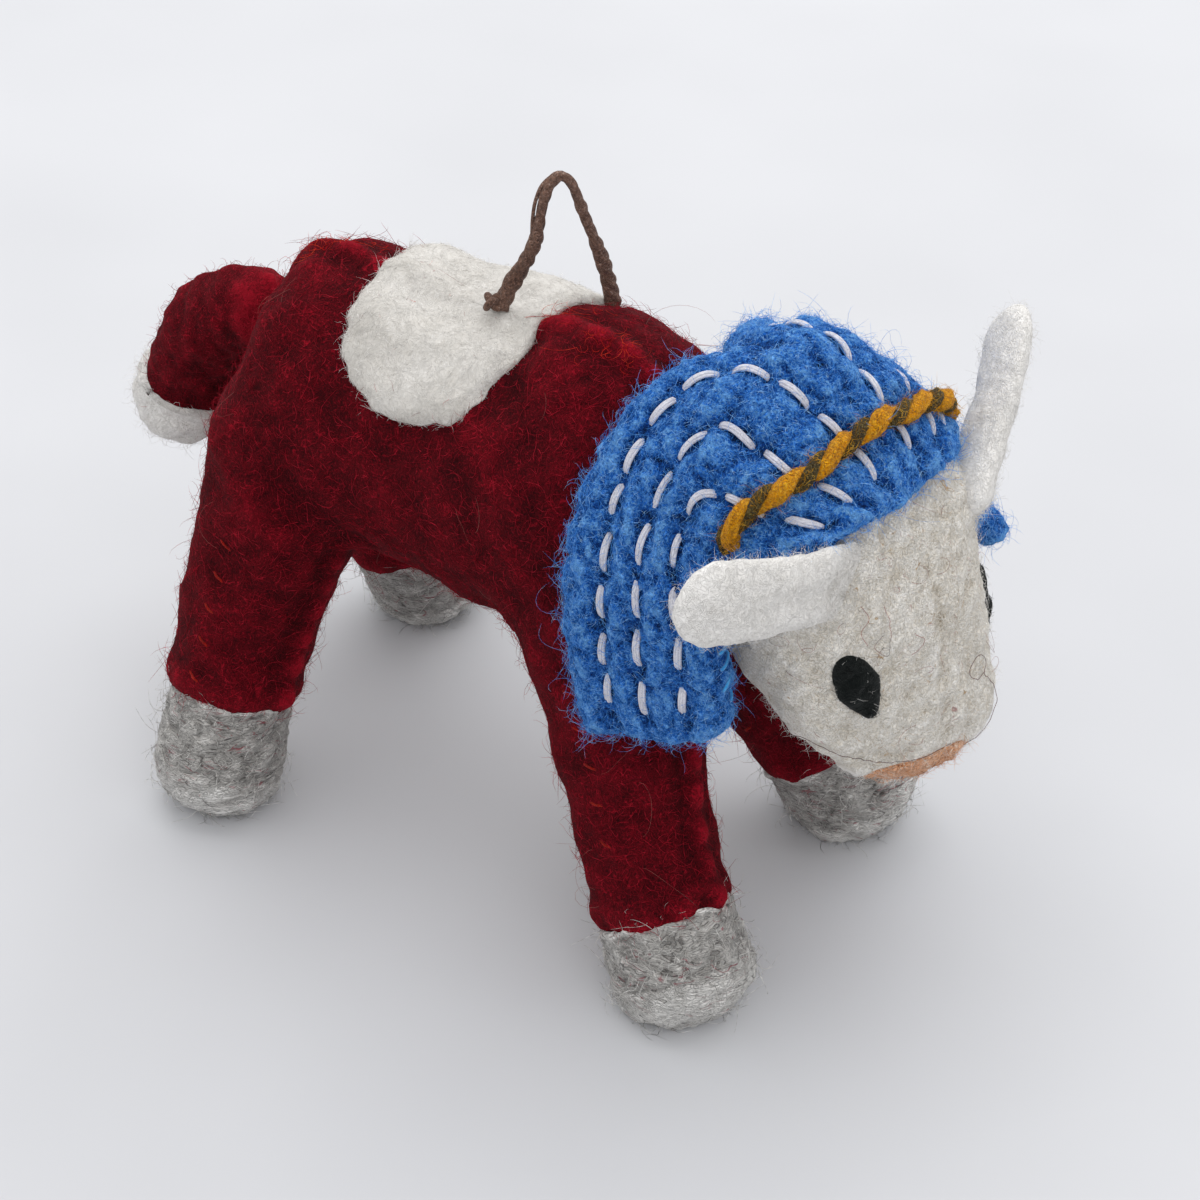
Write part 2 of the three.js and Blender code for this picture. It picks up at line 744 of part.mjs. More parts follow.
// Head: two panels, the stuffing, the muzzle patch and the eyes.
const earSpace = ears.map(({ clearance }) => clearance).reduce((all, next) => all.add(next));
const headCover = solidOf(head).subtract(hollow(head)).subtract(trunkSpace).subtract(earSpace);
add("head_panel_right", geometryOf(headCover.intersect(rightHalf)), "white");
add("head_panel_left", geometryOf(headCover.intersect(leftHalf)), "white");
add("head_stuffing", geometryOf(filling(head).subtract(trunkSpace).subtract(earSpace)), "filling");
const noseSpace = ovalPrism({
  width: nosePatchWidth,
  height: nosePatchHeight,
  depth: headHalfDepth,
  place: along(noseX + muzzleRound, 0, noseHeight + muzzleRound),
  direction: along(1, 0, 0).applyAxisAngle(along(0, 0, 1), -degrees(muzzleTurn)),
});
add("nose_patch", geometryOf(layerOn(head, nosePatchFelt, noseSpace)), "peach");
const eyeDownShare = 0.53;
const eyeFrontShare = 0.95;
const eyeForwardShare = 0.42;
for (const [side, sign] of [["right", -1], ["left", 1]]) {
  const place = along(
    headTopX + eyeFrontShare * (noseX - headTopX),
    sign * headHalfWidth,
    headTopHeight - eyeDownShare * (headTopHeight - noseHeight),
  );
  const space = ovalPrism({
    width: eyeWidth,
    height: eyeHeight,
    depth: headHalfWidth,
    place,
    direction: along(eyeForwardShare, sign, 0),
    lean: eyeLean * sign,
  });
  add(`eye_${side}`, geometryOf(layerOn(head, eyeFelt, space)), "black");
}
ears.forEach(({ side, paddle }) => add(`ear_${side}`, paddle, "white"));

// Headcloth, its stitches and its band.
const bandSpace = around(band);
const cloth = clothHalves
  .map((half) => solidOf(clothPad(half)))
  .reduce((all, next) => all.add(next))
  .subtract(headSpace)
  .subtract(trunkSpace)
  .subtract(earSpace)
  .subtract(bandSpace);
const threadSpace = stitchRows
  .map(({ tube }) => around(tube))
  .reduce((all, next) => all.add(next));
add("headcloth", geometryOf(cloth.subtract(threadSpace)), "cloth");
stitchRows.forEach(({ name, tube }) => add(name, tube, "thread"));
add("head_band", geometryOf(solidOf(band).subtract(threadSpace).subtract(earSpace)), "yarn");

// Saddle patch, pierced where the loop goes through and swings.
const patchSpace = ovalPrism({
  width: patchLength,
  height: patchWidth,
  depth: trunkHalfDepth * 2,
  place: along(patchX, 0, spineHeight + trunkHalfDepth),
  direction: along(0, 0, 1),
  lean: 90 + patchTurn,
  squareness: patchSquareness,
});
const patch = layerOn(trunk, patchFelt, patchSpace).subtract(loopSpace);
add("saddle_patch", geometryOf(patch), "white");
add("hanging_loop", loop, "cord");

// Tail and its felted tip.
const tailEnd = tailPoints.at(-1).clone();
const tipSphere = new THREE.SphereGeometry(tailTipLength, smallSides, smallSides / 2);
const tipZone = solidOf(tipSphere.translate(tailEnd.x, tailEnd.y, tailEnd.z));
const tipSpace = solidOf(grown(tipSphere, seamGap));
add("tail", geometryOf(solidOf(tail).subtract(tipSpace)), "coat");
add("tail_tip", geometryOf(solidOf(grown(tail, tailTipProud)).intersect(tipZone)), "white");

// The origin goes under the middle of the animal, on the floor.
const extent = new THREE.Box3();
for (const mesh of ornament.children) {
  if (mesh.name !== "hanging_loop") extent.expandByObject(mesh);
}
const middle = extent.getCenter(new THREE.Vector3());
ornament.position.set(-middle.x, -middle.y, -extent.min.z);

export default ornament;
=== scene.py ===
# %% [markdown]
# # A stuffed felt animal for the tree
# This lesson dresses a small felt ornament: a red coat, grey hooves, a white head under a quilted
# blue headcloth, and a stiff cord to hang it by. The part's plain solids show where each piece is.
# The looks are worked out here, as surfaces on grids of numbers, then covered with loose fibres.

# %% Load the frame
import functools
import json
import math
import bpy
import numpy as np
from mathutils import Matrix, Vector


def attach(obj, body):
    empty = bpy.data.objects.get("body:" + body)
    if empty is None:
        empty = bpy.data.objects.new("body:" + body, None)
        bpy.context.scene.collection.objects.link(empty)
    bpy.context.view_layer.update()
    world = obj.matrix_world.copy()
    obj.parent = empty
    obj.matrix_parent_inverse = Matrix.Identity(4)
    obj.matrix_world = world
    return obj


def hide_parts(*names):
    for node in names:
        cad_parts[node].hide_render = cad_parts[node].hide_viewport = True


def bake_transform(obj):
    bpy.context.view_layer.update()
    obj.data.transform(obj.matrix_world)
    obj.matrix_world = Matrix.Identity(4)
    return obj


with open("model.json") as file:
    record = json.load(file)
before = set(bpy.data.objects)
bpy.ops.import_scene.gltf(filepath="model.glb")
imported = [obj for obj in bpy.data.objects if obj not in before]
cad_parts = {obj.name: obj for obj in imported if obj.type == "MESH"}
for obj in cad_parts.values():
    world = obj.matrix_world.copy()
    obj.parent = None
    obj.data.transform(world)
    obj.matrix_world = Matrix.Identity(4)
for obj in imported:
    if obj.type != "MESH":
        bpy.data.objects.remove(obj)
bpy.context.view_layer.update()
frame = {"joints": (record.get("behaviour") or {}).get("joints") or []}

# %% [markdown]
# ## Millimetres in, metres out
# The pieces are drawn in millimetres from the middle of the spine, as the sewing pattern is. The
# tail's hinge is known in both frames, so it says where the drawing lies in the part's frame.

# %% The drawing's place in the frame
joints = {joint["name"]: joint for joint in frame["joints"]}
tail_hinge = np.array([-41.5, 0.0, 56.5])
shift = np.array(joints["tail_lift"]["pos_m"]) * 1000 - tail_hinge
upright = np.array([0, 0, 1])
both_sides = {"right": -1, "left": 1}  # the sign of y on each side
print("drawing moved by", shift.round(3), "mm")

# %% [markdown]
# ## Lines
# A stuffed form is a section carried along a smooth line. A line through given points is a
# Catmull-Rom line: it passes through each point and is easy to steer.


# %% Lines
def unit(vectors):
    """Each vector divided by its own length."""
    return vectors / np.maximum(np.linalg.norm(vectors, axis=-1, keepdims=True), 1e-12)


def hermite(start, end, leave, arrive, w):
    """The cubic that starts and ends at two points with two given slopes, at shares w."""
    return (
        (2 * w**3 - 3 * w**2 + 1) * start
        + (w**3 - 2 * w**2 + w) * leave
        + (3 * w**2 - 2 * w**3) * end
        + (w**3 - w**2) * arrive
    )


def extended(rows):
    """The rows with one more at each end, a like step further on."""
    return np.concatenate([2 * rows[:1] - rows[1:2], rows, 2 * rows[-1:] - rows[-2:-1]])


def through(rows, share):
    """A smooth line through evenly counted rows: at each row its slope is half the step from the
    row before to the row after, and the first and last slopes carry on their own step."""
    rows = np.asarray(rows, float)
    x = np.asarray(share, float) * (len(rows) - 1)
    i = np.clip(np.floor(x).astype(int), 0, len(rows) - 2)
    w = (x - i).reshape((-1,) + (1,) * (rows.ndim - 1))
    more = extended(rows)
    a, b, c, d = more[i], more[i + 1], more[i + 2], more[i + 3]
    return hermite(b, c, (c - a) / 2, (d - b) / 2, w)


def reading(values, share):
    """A value read from a short row, held level past its ends."""
    values = np.asarray(values, float)
    return through(np.concatenate([values[:1], values, values[-1:]]),
                   (1 + share * (len(values) - 1)) / (len(values) + 1))


def running(rows):
    """The length along rows of points, from the first row on."""
    steps = np.linalg.norm(np.diff(rows, axis=0), axis=-1)
    return np.concatenate([np.zeros_like(steps[:1]), np.cumsum(steps, 0)])


def path(points, fine=40):
    """A line through unevenly spaced points: each span's slopes are weighed by the square roots of
    the neighbouring spans, so it never loops. Kept with its running length."""
    p = np.asarray(points, float)
    more = extended(p)
    a, b, c, d = more[:-3, None], more[1:-2, None], more[2:-1, None], more[3:, None]
    r, s, t = (np.sqrt(np.linalg.norm(v - u, axis=-1, keepdims=True))
               for u, v in ((a, b), (b, c), (c, d)))
    leave = ((b - a) / r - (c - a) / (r + s) + (c - b) / s) * s
    arrive = ((c - b) / s - (d - b) / (s + t) + (d - c) / t) * s
    w = np.linspace(0, 1, fine, endpoint=False)[None, :, None]
    line = np.concatenate([hermite(b, c, leave, arrive, w).reshape(-1, 3), p[-1:]])
    return line, running(line)


def sampled(points, run, at):
    """Places between points, at given lengths along them."""
    return np.stack([np.interp(at, run, points[:, k]) for k in range(3)], -1)


def place(line, share):
    """Points of a path at shares of its length."""
    return sampled(*line, share * line[1][-1])


def heading(line, share, step=0.004):
    """The path's direction there: the step from just before to just after."""
    return unit(place(line, np.minimum(share + step, 1))
                - place(line, np.maximum(share - step, 0)))


# %% [markdown]
# ## Sections
# A ring is a section's outline round one point of the line. Rings are joined by four-sided faces,
# and a fan of triangles closes the skin at each end, at its pole. A skin is points and lists of
# faces, each list with one corner count.


# %% Sections
def round_angles(count):
    """Evenly spaced angles round a full circle."""
    return np.linspace(0, 2 * np.pi, count, endpoint=False)


def square_to(tangent, hint):
    """Two directions square to a line and to each other, the first square to the hint too."""
    first = unit(np.cross(tangent, hint))
    return first, np.cross(first, tangent)


def turned(vector, axis, angle):
    """A vector that is square to an axis, turned about it: v cos a + (axis x v) sin a."""
    return vector * np.cos(angle) + np.cross(axis, vector) * np.sin(angle)


def ringed(centre, across, over, size, sides):
    """A round ring at each point: centre + size (cos a, sin a) in the plane of two directions."""
    angle = round_angles(sides)[:, None]
    return centre[..., None, :] + size * (np.cos(angle) * across[..., None, :]
                                          + np.sin(angle) * over[..., None, :])


def ring_faces(rings, sides):
    """Four-sided faces between each ring and the next, closed round the sides."""
    at = np.arange(rings * sides).reshape(rings, sides)
    ahead = np.roll(at, -1, axis=1)
    return np.stack([at[:-1], ahead[:-1], ahead[1:], at[1:]], -1).reshape(-1, 4)


def closed(points, poles):
    """A skin of rings closed by a fan of triangles at each pole."""
    rings, sides = points.shape[:2]
    at = np.arange(sides)
    last = (rings - 1) * sides
    first_fan = np.stack([np.full(sides, rings * sides), np.roll(at, -1), at], -1)
    last_fan = np.stack([np.full(sides, rings * sides + 1), last + at, last + np.roll(at, -1)], -1)
    skin = np.concatenate([points.reshape(-1, 3), poles])
    return skin, [ring_faces(rings, sides), first_fan, last_fan]


def copied(count, size, *groups):
    """Lists of faces repeated for a number of copies, each of the given size in points."""
    step = (np.arange(count) * size)[:, None, None]
    return [(group[None] + step).reshape(-1, group.shape[1]) for group in groups]


def form(centres, half_widths, half_depths, start_round, end_round, rings, sides,
         across=(0, 1, 0), squareness=2.0, turn=0.0):
    """A stuffed form. The section is a squared oval, x = w cos^p, y = d sin^p with p = 2 over the
    squareness, carried along the path; w and d are read from their rows and shrink at a rounded
    end by the circle's formula, the square root of 1 - (1 - s)^2."""
    line = path(centres)
    length = line[1][-1]
    bend = 1 - np.cos(np.linspace(0, np.pi / 2, 9)[1:-1])
    run = np.concatenate([
        start_round * bend if start_round else [],
        np.linspace(start_round, length - end_round, rings),
        (length - end_round * bend)[::-1],
    ])
    share = run / length
    centre, tangent = place(line, share), heading(line, share)
    spin = np.radians(turn) * share[:, None]
    up, side = (turned(way, tangent, spin) for way in square_to(tangent, across))
    near = np.minimum(1, (length - run) / end_round)
    if start_round:
        near = np.minimum(near, run / start_round)
    rounding = np.sqrt(1 - (1 - near) ** 2)
    angle = round_angles(sides)
    c, s = (np.sign(v) * np.abs(v) ** (2 / squareness) for v in (np.cos(angle), np.sin(angle)))
    wide = (reading(half_widths, share) * rounding)[:, None, None]
    deep = (reading(half_depths, share) * rounding)[:, None, None]
    points = centre[:, None] + side[:, None] * wide * c[:, None] + up[:, None] * deep * s[:, None]
    return closed(points, place(line, np.array([0.0, 1.0])))


print("a test form:", form([(0, 0, 0), (0, 0, 9)], [3, 3], [3, 3], 2, 2, 4, 8)[0].shape)

# %% [markdown]
# ## Shaping a skin
# A skin is pushed along its normals, by lumps of chosen sizes or by bell curves at chosen places,
# and relaxed where it has to run smoothly.


# %% Shaping
def joined(*skins):
    """Several skins as one."""
    start = np.cumsum([0] + [len(points) for points, _ in skins])
    groups = [group + n for (_, faces), n in zip(skins, start) for group in faces]
    return np.concatenate([points for points, _ in skins]), groups


def triangles(faces):
    """Every face cut into triangles."""
    return np.concatenate([
        group if group.shape[1] == 3
        else np.concatenate([group[:, [0, 1, 2]], group[:, [0, 2, 3]]])
        for group in faces])


def normals_of(points, faces):
    """Each point's outward direction: the sum of its triangles' cross products, made unit long."""
    tris = triangles(faces)
    a, b, c = points[tris[:, 0]], points[tris[:, 1]], points[tris[:, 2]]
    flat = np.cross(b - a, c - a)
    return unit(np.stack([
        sum(np.bincount(tris[:, k], flat[:, axis], len(points)) for k in range(3))
        for axis in range(3)], -1))


def relaxed(points, faces, rounds, weight=0.5):
    """Each point moved towards the mean of its neighbours by the weight, some rounds in a row."""
    tris = triangles(faces)
    edges = np.stack([tris, np.roll(tris, -1, axis=1)], -1).reshape(-1, 2)
    a, b = np.unique(np.sort(edges, axis=1), axis=0).T
    n = len(points)
    count = (np.bincount(a, minlength=n) + np.bincount(b, minlength=n))[:, None]
    for _ in range(rounds):
        total = np.stack([np.bincount(a, points[b, k], n) + np.bincount(b, points[a, k], n)
                          for k in range(3)], -1)
        points = points + weight * (total / count - points)
    return points


def pushed(points, ways, amount):
    """Each point moved along its direction by its amount."""
    return points + ways * amount[:, None]


def lumps(points, size, seed, waves=18):
    """Soft lumps of about the given size: the mean of plane sine waves in random directions,
    scaled to stay mostly between -1 and 1."""
    rng = np.random.default_rng(seed)
    ways = unit(rng.normal(size=(waves, 3))) * (2 * np.pi / size)
    ways = ways * rng.uniform(0.7, 1.4, (waves, 1))
    phases = rng.uniform(0, 2 * np.pi, waves)
    return np.sin(points @ ways.T + phases).sum(1) / math.sqrt(waves) * 0.8


def eased(value, low, high):
    """0 below low, 1 above high, and a smooth step between."""
    w = np.clip((value - low) / (high - low), 0, 1)
    return w * w * (3 - 2 * w)


def bell(value, width, other=0, other_width=1):
    """A bell curve over one or two distances: e to the power -((v / w)^2 + (o / w)^2)."""
    return np.exp(-((value / width) ** 2 + (other / other_width) ** 2))


def arches(run, pitch=4.4, low=0.25):
    """A row of arches along a seam: low at each stitch and full between, |sin| to the power 0.7."""
    return low + (1 - low) * np.abs(np.sin(np.pi * run / pitch)) ** 0.7


# %% [markdown]
# ## From numbers to a piece
# A piece is a mesh whose object stays at the origin. It rides on one of the part's bodies; a piece
# given a bend across a joint stays where it is and rides on none. It stands for the plain solids
# that it hides.


# %% Making pieces
def in_scene(name, data):
    """An object in the scene, from its mesh, lamp or camera."""
    made = bpy.data.objects.new(name, data)
    bpy.context.scene.collection.objects.link(made)
    return made


def mesh_of(name, points, faces):
    """A smooth mesh from points in metres and lists of faces."""
    mesh = bpy.data.meshes.new(name)
    mesh.from_pydata(points.tolist(), [], [face for group in faces for face in group.tolist()])
    mesh.shade_smooth()
    return mesh


def piece(name, skin, material, body="animal", hides=(), hollows=0):
    """A finished piece, from a skin in the drawing's millimetres. The body is the name of the body
    it rides on; given a bend instead (two bodies, and where the bend starts and ends), its parts
    are not used, and the piece rides on no body. With a count of relaxing rounds, each point also
    keeps how deep it lies: the step from it, along its normal, to the same skin relaxed, which the
    wool material paints as shade."""
    points, faces = skin
    mesh = mesh_of(name, (points + shift) / 1000, faces)
    mesh.materials.append(material)
    if hollows:
        # Painted shade: the wool material reads this depth and darkens the colour where the point
        # lies deep.
        deep = ((relaxed(points, faces, hollows) - points) * normals_of(points, faces)).sum(1)
        kept = mesh.attributes.new("hollow", "FLOAT", "POINT")
        kept.data.foreach_set("value", deep.astype(np.float32))
    made = in_scene(name, mesh)
    if isinstance(body, str):
        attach(made, body)
    else:
        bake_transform(made)
    if hides:
        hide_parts(*hides)
    print(name, len(mesh.polygons), "faces")
    return made


# %% [markdown]
# Two of Blender's own tools work on skins here: a voxel remesh makes one skin of several that run
# into each other, and a shrinkwrap lays points on a piece that is already there.


# %% Fusing and wrapping
def worked_out(trial):
    """A helper's mesh as its modifiers leave it: points, and corners of faces. The helper goes."""
    result = trial.evaluated_get(bpy.context.evaluated_depsgraph_get())
    mesh = bpy.data.meshes.new_from_object(result)
    found = np.empty(len(mesh.vertices) * 3, np.float32)
    mesh.vertices.foreach_get("co", found)
    corners = np.empty(len(mesh.loops), np.int32)
    mesh.loops.foreach_get("vertex_index", corners)
    plain = trial.data
    bpy.data.objects.remove(trial)
    bpy.data.meshes.remove(plain)
    bpy.data.meshes.remove(mesh)
    return found.reshape(-1, 3).astype(float), corners.reshape(-1, 4)


def fused(voxel, *skins):
    """Skins that run into each other made one skin, on cubes of the voxel's size."""
    trial = in_scene("fusing", mesh_of("fusing", *joined(*skins)))
    remesh = trial.modifiers.new("cubes", "REMESH")
    remesh.mode, remesh.voxel_size, remesh.adaptivity = "VOXEL", voxel, 0
    points, faces = worked_out(trial)
    return points, [faces]


def wrapped(target, points, axes=None):
    """A grid of points moved onto a piece: along the last of the given axes, or, with no axes, to
    the nearest place."""
    turn = np.eye(3) if axes is None else np.stack(axes, -1)
    flat = points.reshape(-1, 3) @ turn / 1000
    probe = in_scene("probe", mesh_of("probe", flat, [ring_faces(*points.shape[:2])]))
    matrix = np.eye(4)
    matrix[:3, :3], matrix[:3, 3] = turn, shift / 1000
    probe.matrix_world = Matrix(matrix.tolist())
    wrap = probe.modifiers.new("wrap", "SHRINKWRAP")
    wrap.target, wrap.wrap_method = target, "NEAREST_SURFACEPOINT"
    if axes is not None:
        wrap.wrap_method = "PROJECT"
        wrap.use_project_z = wrap.use_negative_direction = True
        wrap.use_positive_direction = False
    bpy.context.view_layer.update()
    return (worked_out(probe)[0] * 1000 @ turn.T).reshape(points.shape)


# %% [markdown]
# ## Loose fibres
# Felt never ends cleanly: short curled fibres stand out of it all over. Each is a thin tapering
# tube with three sides and few faces, because there are thousands. A fibre's line turns at a
# steady rate in one plane, so it is part of a circle, like a real crimped wool fibre.


# %% Fibres on a surface
def fuzz(name, skin, material, count, length, thickness, curl, lift, seed,
         steps=3, keep=None, sink=0.2, body="animal"):
    """Fibres rooted at random places of a skin, evenly by area. Each starts between lying flat
    (lift 0) and upright (lift 1) and curls in a plane near the skin's own: at share t along it, it
    points along cos A times its start plus sin A times its bend, A = curl t + wave sin(2 pi t)."""
    points, faces = skin
    rng = np.random.default_rng(seed)
    tris = triangles(faces)
    if keep is not None:
        tris = tris[keep(points[tris].mean(1))]
    a, b, c = points[tris[:, 0]], points[tris[:, 1]], points[tris[:, 2]]
    facing = np.cross(b - a, c - a)
    area = np.linalg.norm(facing, axis=1)
    chosen = rng.choice(len(tris), count, p=area / area.sum())
    u, v = rng.random((2, count, 1))
    u, v = np.where(u + v > 1, 1 - u, u), np.where(u + v > 1, 1 - v, v)
    root = a[chosen] + u * (b - a)[chosen] + v * (c - a)[chosen]
    normal = unit(facing[chosen])
    level = unit(np.cross(normal, rng.normal(size=(count, 3))))
    rise = rng.uniform(*lift, (count, 1))
    start = unit(normal * rise + level * (1 - rise))
    bend = (np.cross(normal, start) * rng.choice([-1.0, 1.0], (count, 1))
            + normal * rng.normal(0, 0.4, (count, 1)))
    bend = unit(bend - start * (bend * start).sum(1, keepdims=True))
    long = rng.uniform(*length, (count, 1, 1))
    t = np.linspace(0, 1, steps + 1)
    angle = rng.uniform(*curl, (count, 1)) * t
    angle = (angle + rng.normal(0, 0.4, (count, 1)) * np.sin(2 * np.pi * t))[:, :, None]
    way = np.cos(angle) * start[:, None] + np.sin(angle) * bend[:, None]
    stride = (way[:, 1:] + way[:, :-1]) / 2 * long / steps
    travelled = np.concatenate([np.zeros((count, 1, 3)), np.cumsum(stride, 1)], 1)
    line = (root - normal * sink)[:, None] + travelled
    plane = np.broadcast_to(np.cross(start, bend)[:, None], line.shape)
    other = np.cross(plane, way)
    taper = np.linspace(1, 0.5, steps)[None, :, None, None] * thickness / 2
    rings = ringed(line[:, :-1], plane[:, :-1], other[:, :-1], taper, 3)
    fibre = np.concatenate([rings.reshape(count, -1, 3), line[:, -1:]], 1).reshape(-1, 3)
    fibre[:, 2] = np.maximum(fibre[:, 2], 0.02)  # a fibre that meets the floor lies on it
    last = 3 * steps
    ends = np.array([[0, 2, 1], [last - 3, last - 2, last], [last - 2, last - 1, last],
                     [last - 1, last - 3, last]])
    faces = copied(count, last + 1, ring_faces(steps, 3), ends)
    return piece(name, (fibre, faces), material, body)


# %% [markdown]
# ## Materials
# Wool felt is matt: light sinks between its fibres, and only a faint sheen comes back at the
# edges. Its colour is never even, because dark gaps show between lighter strands. The strands are
# drawn as the level lines of a soft noise, which wander and close on themselves as wool does.


# %% Colours and nodes
def linear(text):
    """An sRGB hex colour as linear light."""
    values = [int(text[i:i + 2], 16) / 255 for i in (1, 3, 5)]
    light = [v / 12.92 if v <= 0.04045 else ((v + 0.055) / 1.055) ** 2.4 for v in values]
    return (*light, 1.0)


def add(tree, kind, inputs=None, out=0, stops=(), **settings):
    """Adds a shader node with its settings and gives one of its outputs. Inputs go by name or
    place: a socket is linked to, and anything else is the value. Stops are a ramp's places and
    colours."""
    made = tree.nodes.new("ShaderNode" + kind)
    for name, value in settings.items():
        setattr(made, name, value)
    for name, value in (inputs or {}).items():
        if isinstance(value, bpy.types.NodeSocket):
            tree.links.new(value, made.inputs[name])
        else:
            made.inputs[name].default_value = value
    for number, (position, colour) in enumerate(stops):
        elements = made.color_ramp.elements
        element = elements[number] if number < 2 else elements.new(position)
        element.position, element.color = position, linear(colour)
    return made.outputs[out] if made.outputs else made


def empty_material(name):
    """A new material without nodes, and the function that adds them."""
    material = bpy.data.materials.new(name)
    material.use_nodes = True
    material.node_tree.nodes.clear()
    return material, functools.partial(add, material.node_tree)


def per_metre(millimetres):
    """A noise scale whose lumps are that many millimetres across."""
    return 1000 / millimetres


def spread(shades, low=0.05, high=0.95):
    """Shades as a ramp's stops, evenly between two places."""
    return list(zip(np.linspace(low, high, len(shades)), shades))


# %% [markdown]
# Felt is built from the same few layers each time: a fine and a slow noise, up to three layers of
# curly lines, painted shade from the depth kept by the mesh, and flecks of another colour.


# %% Felt and single fibres
def wool(name, shades, curl=1.6, light=(0.3, 0.3, 0.3), fluff=0.5, blotch=6.0, uneven=0.35,
         deep=1.0, relief=0.09, stretch=(1, 1, 1), flecks=(), sheen=0.3, sheen_colour="#ffffff",
         roughness=0.95):
    """Felted wool. Each layer of fibres is the set of level lines of a swirling noise: the noise
    times a count, folded to and fro, peaks on curly lines about 0.3 mm apart. Real fibres are ten
    times finer, so they are drawn as coarse as the picture can show. The lines read the light end
    of the shades and stand out as ridges. A layer with a negative amount reads the dark end and
    sinks as a groove: a painted shadow between fibres. The low places of the fine noise read the
    dark end too, as gaps where light sinks between fibres. The depth kept by the mesh darkens the
    colour by the deep amount: painted shade in its hollow places and creases."""
    material, node = empty_material(name)
    where = node("TexCoord", out="Object")

    def lines(size, seed, spacing=0.34, sharp=0.36):
        moved = node("Mapping", {"Vector": where, "Location": (seed, 2 * seed, 3 * seed),
                                 "Rotation": (seed, 0.6 * seed, 0), "Scale": stretch})
        field = node("TexNoise", {"Vector": moved, "Scale": per_metre(size), "Detail": 1.0,
                                  "Distortion": 0.7})
        many = node("Math", {0: field, 1: size / spacing / 0.4}, operation="MULTIPLY")
        folded = node("Math", {0: many, 1: 0.5}, operation="PINGPONG")
        return node("MapRange", {"Value": folded, "From Min": sharp, "From Max": 0.5})

    fine, slow = (node("TexNoise", {"Vector": where, "Scale": per_metre(size), "Detail": 3.0,
                                    "Roughness": 0.55}) for size in (0.3, blotch))
    # Painted shade: the depth that each point of the mesh keeps in its hollow attribute darkens the
    # colour below.
    hollow = node("Attribute", out="Fac", attribute_name="hollow")
    shade = 0.45 - fluff / 2 - uneven / 2
    height = node("Math", {0: fine, 1: 1.5 * fluff}, operation="MULTIPLY")
    layers = [(fine, fluff), (slow, uneven)]
    # A negative amount paints a dark line: shadow in a groove between fibres.
    for k, amount in enumerate(light):
        strands = lines(curl * (1 - 0.2 * k), 0.7 + 1.1 * k)
        layers.append((strands, amount))
        height = node("Math", {0: strands, 1: math.copysign(1, amount), 2: height},
                      operation="MULTIPLY_ADD")
    for layer, amount in layers + [(hollow, -deep)]:
        shade = node("Math", {0: layer, 1: amount, 2: shade}, operation="MULTIPLY_ADD",
                     use_clamp=layer is hollow)
    colour = node("ValToRGB", {"Fac": shade}, stops=spread(shades))
    for k, (fleck, share) in enumerate(flecks):
        moved = node("Mapping", {"Vector": where, "Location": (0, 0, 0.03 * (k + 1))})
        some = node("TexNoise", {"Vector": moved, "Scale": per_metre(2.5), "Detail": 2.0})
        here = node("MapRange", {"Value": some, "From Min": 0.62 - share, "From Max": 0.7 - share})
        both = node("Math", {0: lines(2.4, 5 + k, 1.2, 0.43), 1: here}, operation="MULTIPLY")
        colour = node("Mix", {"Factor": both, 6: colour, 7: linear(fleck)}, out=2, data_type="RGBA")
    bump = node("Bump", {"Height": height, "Distance": relief / 1000, "Strength": 1.0})
    shader = node("BsdfPrincipled", {
        "Base Color": colour, "Roughness": roughness, "Specular IOR Level": 0.1,
        "Sheen Weight": sheen, "Sheen Roughness": 0.5, "Sheen Tint": linear(sheen_colour),
        "Normal": bump})
    node("OutputMaterial", {"Surface": shader})
    return material


def loose_fibre(name, shades, size=1.4):
    """Single fibres: each shade covers a patch a little over a millimetre wide, so neighbouring
    fibres differ. Dyed wool keeps its colour in its highlights, so nearly all the light is matt."""
    material, node = empty_material(name)
    where = node("TexCoord", out="Object")
    patches = node("TexNoise", {"Vector": where, "Scale": per_metre(size), "Detail": 3.0})
    colour = node("ValToRGB", {"Fac": patches}, stops=spread(shades, 0.33, 0.67))
    shader = node("BsdfPrincipled", {"Base Color": colour, "Roughness": 0.8,
                                     "Specular IOR Level": 0.08})
    node("OutputMaterial", {"Surface": shader})
    return material


# %% [markdown]
# ## The wools and threads
# Each material begins with the real one: what it is called and how it was made, and what that gives
# the eye. The shades run from the deepest gap, reached by painted shade in gaps and hollow places,
# to the lightest fibre. A negative amount of light draws dark lines of painted shadow.

# %% The felts
# Piece-dyed merino felt: deep crimson. Painted shade makes it nearly black in its gaps and hollow
# places.
red_felt = wool("red_wool_felt", ["#0f0002", "#360208", "#600512", "#9c1023"], curl=2.2,
                light=(0.3, 0.28, -0.2), fluff=0.7, blotch=3.5, uneven=0.5, sheen=0.12,
                sheen_colour="#a00c20", deep=0.8, relief=0.08)
# Undyed grey fleece wound and felted over the feet: coarse strands and red strays. Its crevices are
# dark with painted shade: the hollow depth, dark lines and the dark grey flecks.
grey_felt = wool("grey_felted_fleece", ["#46423f", "#8e8b87", "#bdbab6", "#e2e0dc"], curl=2.4,
                 light=(0.22, 0.22, -0.3), uneven=0.6, blotch=2.6, stretch=(0.4, 0.4, 1.6),
                 flecks=[("#8f3c46", 0.12), ("#4a4643", 0.12)], relief=0.12, deep=1.1)
# Bleached wool felt: nearly white and smooth; the painted shade in its gaps is a little warm.
white_felt = wool("white_wool_felt", ["#c4c0b8", "#e2dfda", "#f2f0ed", "#fcfbf9"],
                  light=(0.12, 0.1, -0.1), fluff=0.35, deep=0.4, relief=0.045, sheen=0.1)
